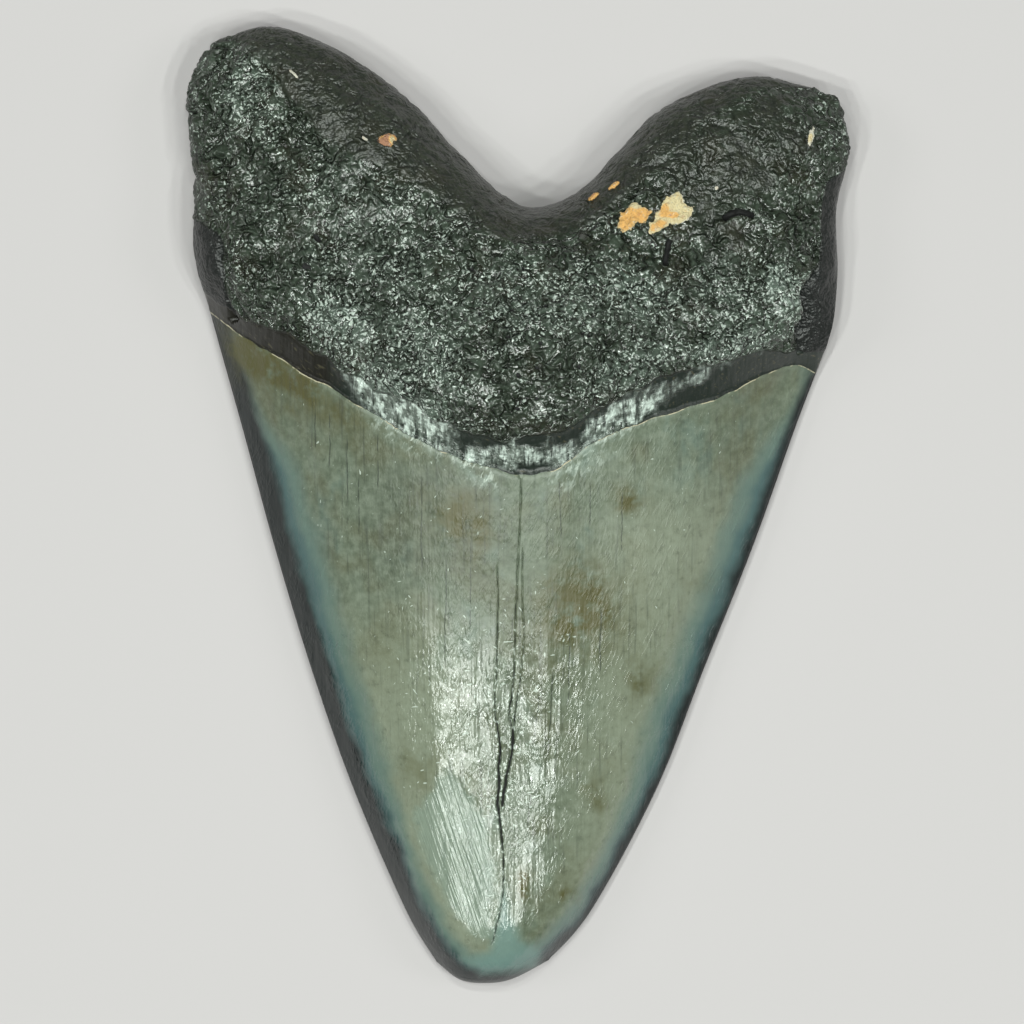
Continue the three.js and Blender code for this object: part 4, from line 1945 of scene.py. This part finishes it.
@dataclass(frozen=True)
class MatrixFinish:
    """Dry sediment, from orange to cream, with a crumbly surface."""

    orange: Colour = srgb(236, 182, 106)
    cream: Colour = srgb(226, 210, 164)
    rust: Colour = srgb(176, 128, 100)
    white: Colour = srgb(226, 222, 206)

    def layer(self, n: Nodes) -> Layer:
        """Builds the finish.

        Args:
            n: The material's nodes.

        Returns:
            The finish.
        """
        crumbs = n.noise(0.6, 3.0, 0.75)
        depth = n.field("speck")
        tint = n.math("ADD", n.field("speck_tint"), n.centred(n.noise(1.1, 3.0, 0.6), 0.75))
        tint = n.math("ADD", tint, n.ramp(depth, 0.5, 0.0, 0.45))
        colour = n.blend(n.ramp(tint, -0.6, -0.1), self.rust, self.orange)
        colour = n.blend(n.ramp(tint, 0.25, 0.8), colour, self.cream)
        colour = n.blend(n.ramp(tint, 1.1, 1.5), colour, self.white)
        colour = n.blend(n.ramp(crumbs, 0.54, 0.68, 0.5), colour, self.rust)
        colour = n.blend(n.ramp(crumbs, 0.44, 0.3, 0.6), colour, self.white)
        roughness = n.math("MULTIPLY_ADD", crumbs, 0.2, 0.7)
        return Layer(colour, roughness, n.math("MULTIPLY", crumbs, -0.6))


@dataclass(frozen=True)
class FossilSurface:
    """All of the tooth's finishes in one material, each where it belongs."""

    root: RootFinish = RootFinish()
    band: BandFinish = BandFinish()
    enamel: EnamelFinish = EnamelFinish()
    matrix: MatrixFinish = MatrixFinish()
    ior: float = 1.6
    rim_roughness: float = 0.4

    def material(self) -> bpy.types.Material:
        """Builds the material.

        Returns:
            The material.
        """
        material = bpy.data.materials.new("fossil")
        material.use_nodes = True
        n = Nodes(material)
        jag = n.centred(n.noise(0.6, 3.0, 0.6), 0.14)
        in_band = n.ramp(n.math("ADD", n.field("below_root"), jag), -0.15, 0.1)
        on_enamel = n.ramp(n.math("MULTIPLY_ADD", jag, 0.5, n.field("below_enamel")), -0.05, 0.05)
        crumbly = n.centred(n.noise(0.7, 3.0, 0.65), 0.45)
        in_speck = n.ramp(n.math("ADD", n.field("speck"), crumbly), 0.0, 0.1)
        layer = self.root.layer(n)
        for share, above in (
            (in_band, self.band.layer(n)),
            (on_enamel, self.enamel.layer(n)),
            (in_speck, self.matrix.layer(n)),
        ):
            layer = Layer(
                n.blend(share, layer.colour, above.colour),
                n.between(share, layer.roughness, above.roughness),
                n.between(share, layer.height, above.height),
            )
        roughness = n.between(n.ramp(n.field("rim"), 2.6, 0.4), layer.roughness, self.rim_roughness)
        bump = n.add("ShaderNodeBump", {"Height": layer.height, "Distance": MM, "Strength": 1.0})
        shader = n.add("ShaderNodeBsdfPrincipled", {
            "Base Color": layer.colour, "Roughness": roughness,
            "Normal": bump.outputs["Normal"], "IOR": self.ior,
        })
        n.add("ShaderNodeOutputMaterial", {"Surface": shader.outputs["BSDF"]})
        return material


# ---------------------------------------------------------------- the studio


@dataclass(frozen=True)
class Lamp:
    """One soft, round light that points at the tooth.

    Attributes:
        name: Its name in the scene.
        place: Where it is, in metres.
        size: How wide it is, in metres.
        power: How strong it is, in watts.
        colour: The colour of its light.
    """

    name: str
    place: tuple[float, float, float]
    size: float
    power: float
    colour: Colour = (1.0, 1.0, 1.0)

    def build(self) -> bpy.types.Object:
        """Makes the light, pointing at the tooth.

        Returns:
            The lamp.
        """
        data = bpy.data.lights.new(self.name, "AREA")
        data.shape = "DISK"
        data.size = self.size
        data.energy = self.power
        data.color = self.colour
        lamp = bpy.data.objects.new(self.name, data)
        lamp.location = self.place
        lamp.rotation_euler = (-Vector(self.place)).to_track_quat("-Z", "Y").to_euler()
        bpy.context.collection.objects.link(lamp)
        return lamp


@dataclass(frozen=True)
class Cluster:
    """A few small lamps round one place, which give crisp glints and soft, layered shadows.

    Attributes:
        name: The start of the lamps' names.
        place: The place that they stand round, in metres.
        power: How strong they are together, in watts.
        number: How many lamps there are.
        radius: How far they are from the place, in metres.
        turn: The first lamp's angle, in radians.
        size: How wide each lamp is, in metres.
        colour: The colour of their light.
    """

    name: str
    place: tuple[float, float, float]
    power: float
    number: int = 4
    radius: float = 0.15
    turn: float = 0.5
    size: float = 0.06
    colour: Colour = (0.94, 1.0, 0.94)

    def lamps(self) -> Iterator[Lamp]:
        """The lamps, evenly spread on a circle round the place.

        Returns:
            Each lamp in turn.
        """
        x, y, z = self.place
        for k in range(self.number):
            angle = math.tau * k / self.number + self.turn
            place = (x + self.radius * math.cos(angle), y + self.radius * math.sin(angle), z)
            yield Lamp(f"{self.name}_{k}", place, self.size, self.power / self.number, self.colour)


@dataclass(frozen=True)
class Studio:
    """The pale floor, the lights and the camera above the tooth.

    Attributes:
        floor_size: The floor's width.
        room_colour: The colour of the room's own weak light.
        room_strength: How strong that light is.
        view_width: How wide the view is at the tooth's rim.
        rim_height: How high that rim is above the floor.
        lens: The camera's focal length, in millimetres.
        sensor: The camera's sensor width, in millimetres.
        view_centre: Where the middle of the view is, from the frame's origin.
    """

    floor_size: float = 6.0
    floor_colour: Colour = srgb(202, 197, 199)
    floor_roughness: float = 0.9
    room_colour: Colour = (0.92, 1.0, 0.95)
    room_strength: float = 0.06
    view_width: float = 0.1382
    rim_height: float = 0.005
    lens: float = 200.0
    sensor: float = 36.0
    view_centre: tuple[float, float] = (-0.0009, -0.0007)
    clusters: tuple[Cluster, ...] = (
        Cluster("key_left", (-0.31, -0.28, 1.1), 5.2),
        Cluster("key_right", (0.38, -0.26, 1.1), 5.3),
        Cluster("key_top", (-0.05, 0.22, 1.15), 5.2),
    )
    fills: tuple[Lamp, ...] = (
        Lamp("fill_left", (-1.0, 0.1, 0.9), 0.5, 1.6),
        Lamp("fill_right", (1.0, 0.0, 0.9), 0.5, 1.6),
    )

    def build_floor(self) -> bpy.types.Object:
        """Makes the plain floor that the tooth lies on.

        Returns:
            The floor.
        """
        half = self.floor_size / 2
        corners = [(-half, -half, 0), (half, -half, 0), (half, half, 0), (-half, half, 0)]
        mesh = bpy.data.meshes.new("floor")
        mesh.from_pydata(corners, [], [(0, 1, 2, 3)])
        material = bpy.data.materials.new("floor")
        material.use_nodes = True
        shader = material.node_tree.nodes["Principled BSDF"]
        shader.inputs["Base Color"].default_value = (*self.floor_colour, 1.0)
        shader.inputs["Roughness"].default_value = self.floor_roughness
        mesh.materials.append(material)
        floor = bpy.data.objects.new("floor", mesh)
        bpy.context.collection.objects.link(floor)
        return floor

    def build_world(self) -> None:
        """Fills the room with a weak, even light."""
        world = bpy.data.worlds.new("room")
        world.use_nodes = True
        background = world.node_tree.nodes["Background"]
        background.inputs["Color"].default_value = (*self.room_colour, 1.0)
        background.inputs["Strength"].default_value = self.room_strength
        bpy.context.scene.world = world

    def build_camera(self) -> bpy.types.Object:
        """Makes the camera, which looks straight down.

        Returns:
            The camera.
        """
        data = bpy.data.cameras.new("camera")
        data.lens = self.lens
        data.sensor_width = self.sensor
        data.clip_start, data.clip_end = 0.01, 10.0
        camera = bpy.data.objects.new("camera", data)
        distance = self.view_width * self.lens / self.sensor
        camera.location = (*self.view_centre, self.rim_height + distance)
        bpy.context.collection.objects.link(camera)
        bpy.context.scene.camera = camera
        return camera

    def build(self) -> None:
        """Makes the whole studio."""
        self.build_floor()
        self.build_world()
        self.build_camera()
        for cluster in self.clusters:
            for lamp in cluster.lamps():
                lamp.build()
        for lamp in self.fills:
            lamp.build()
        bpy.context.scene.view_settings.view_transform = "Standard"


def write_sizes() -> None:
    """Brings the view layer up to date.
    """
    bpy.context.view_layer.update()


def main() -> None:
    """Builds the studio and the tooth, and reports each piece."""
    logging.basicConfig(level=logging.INFO, format="%(name)s: %(message)s")
    Studio().build()
    tooth = Tooth()
    piece = tooth.build()
    tooth.dress(piece)
    log.info("%s: %d vertices, %d faces", piece.name, len(piece.data.vertices), len(piece.data.polygons))
    write_sizes()


if __name__ == "__main__":
    main()
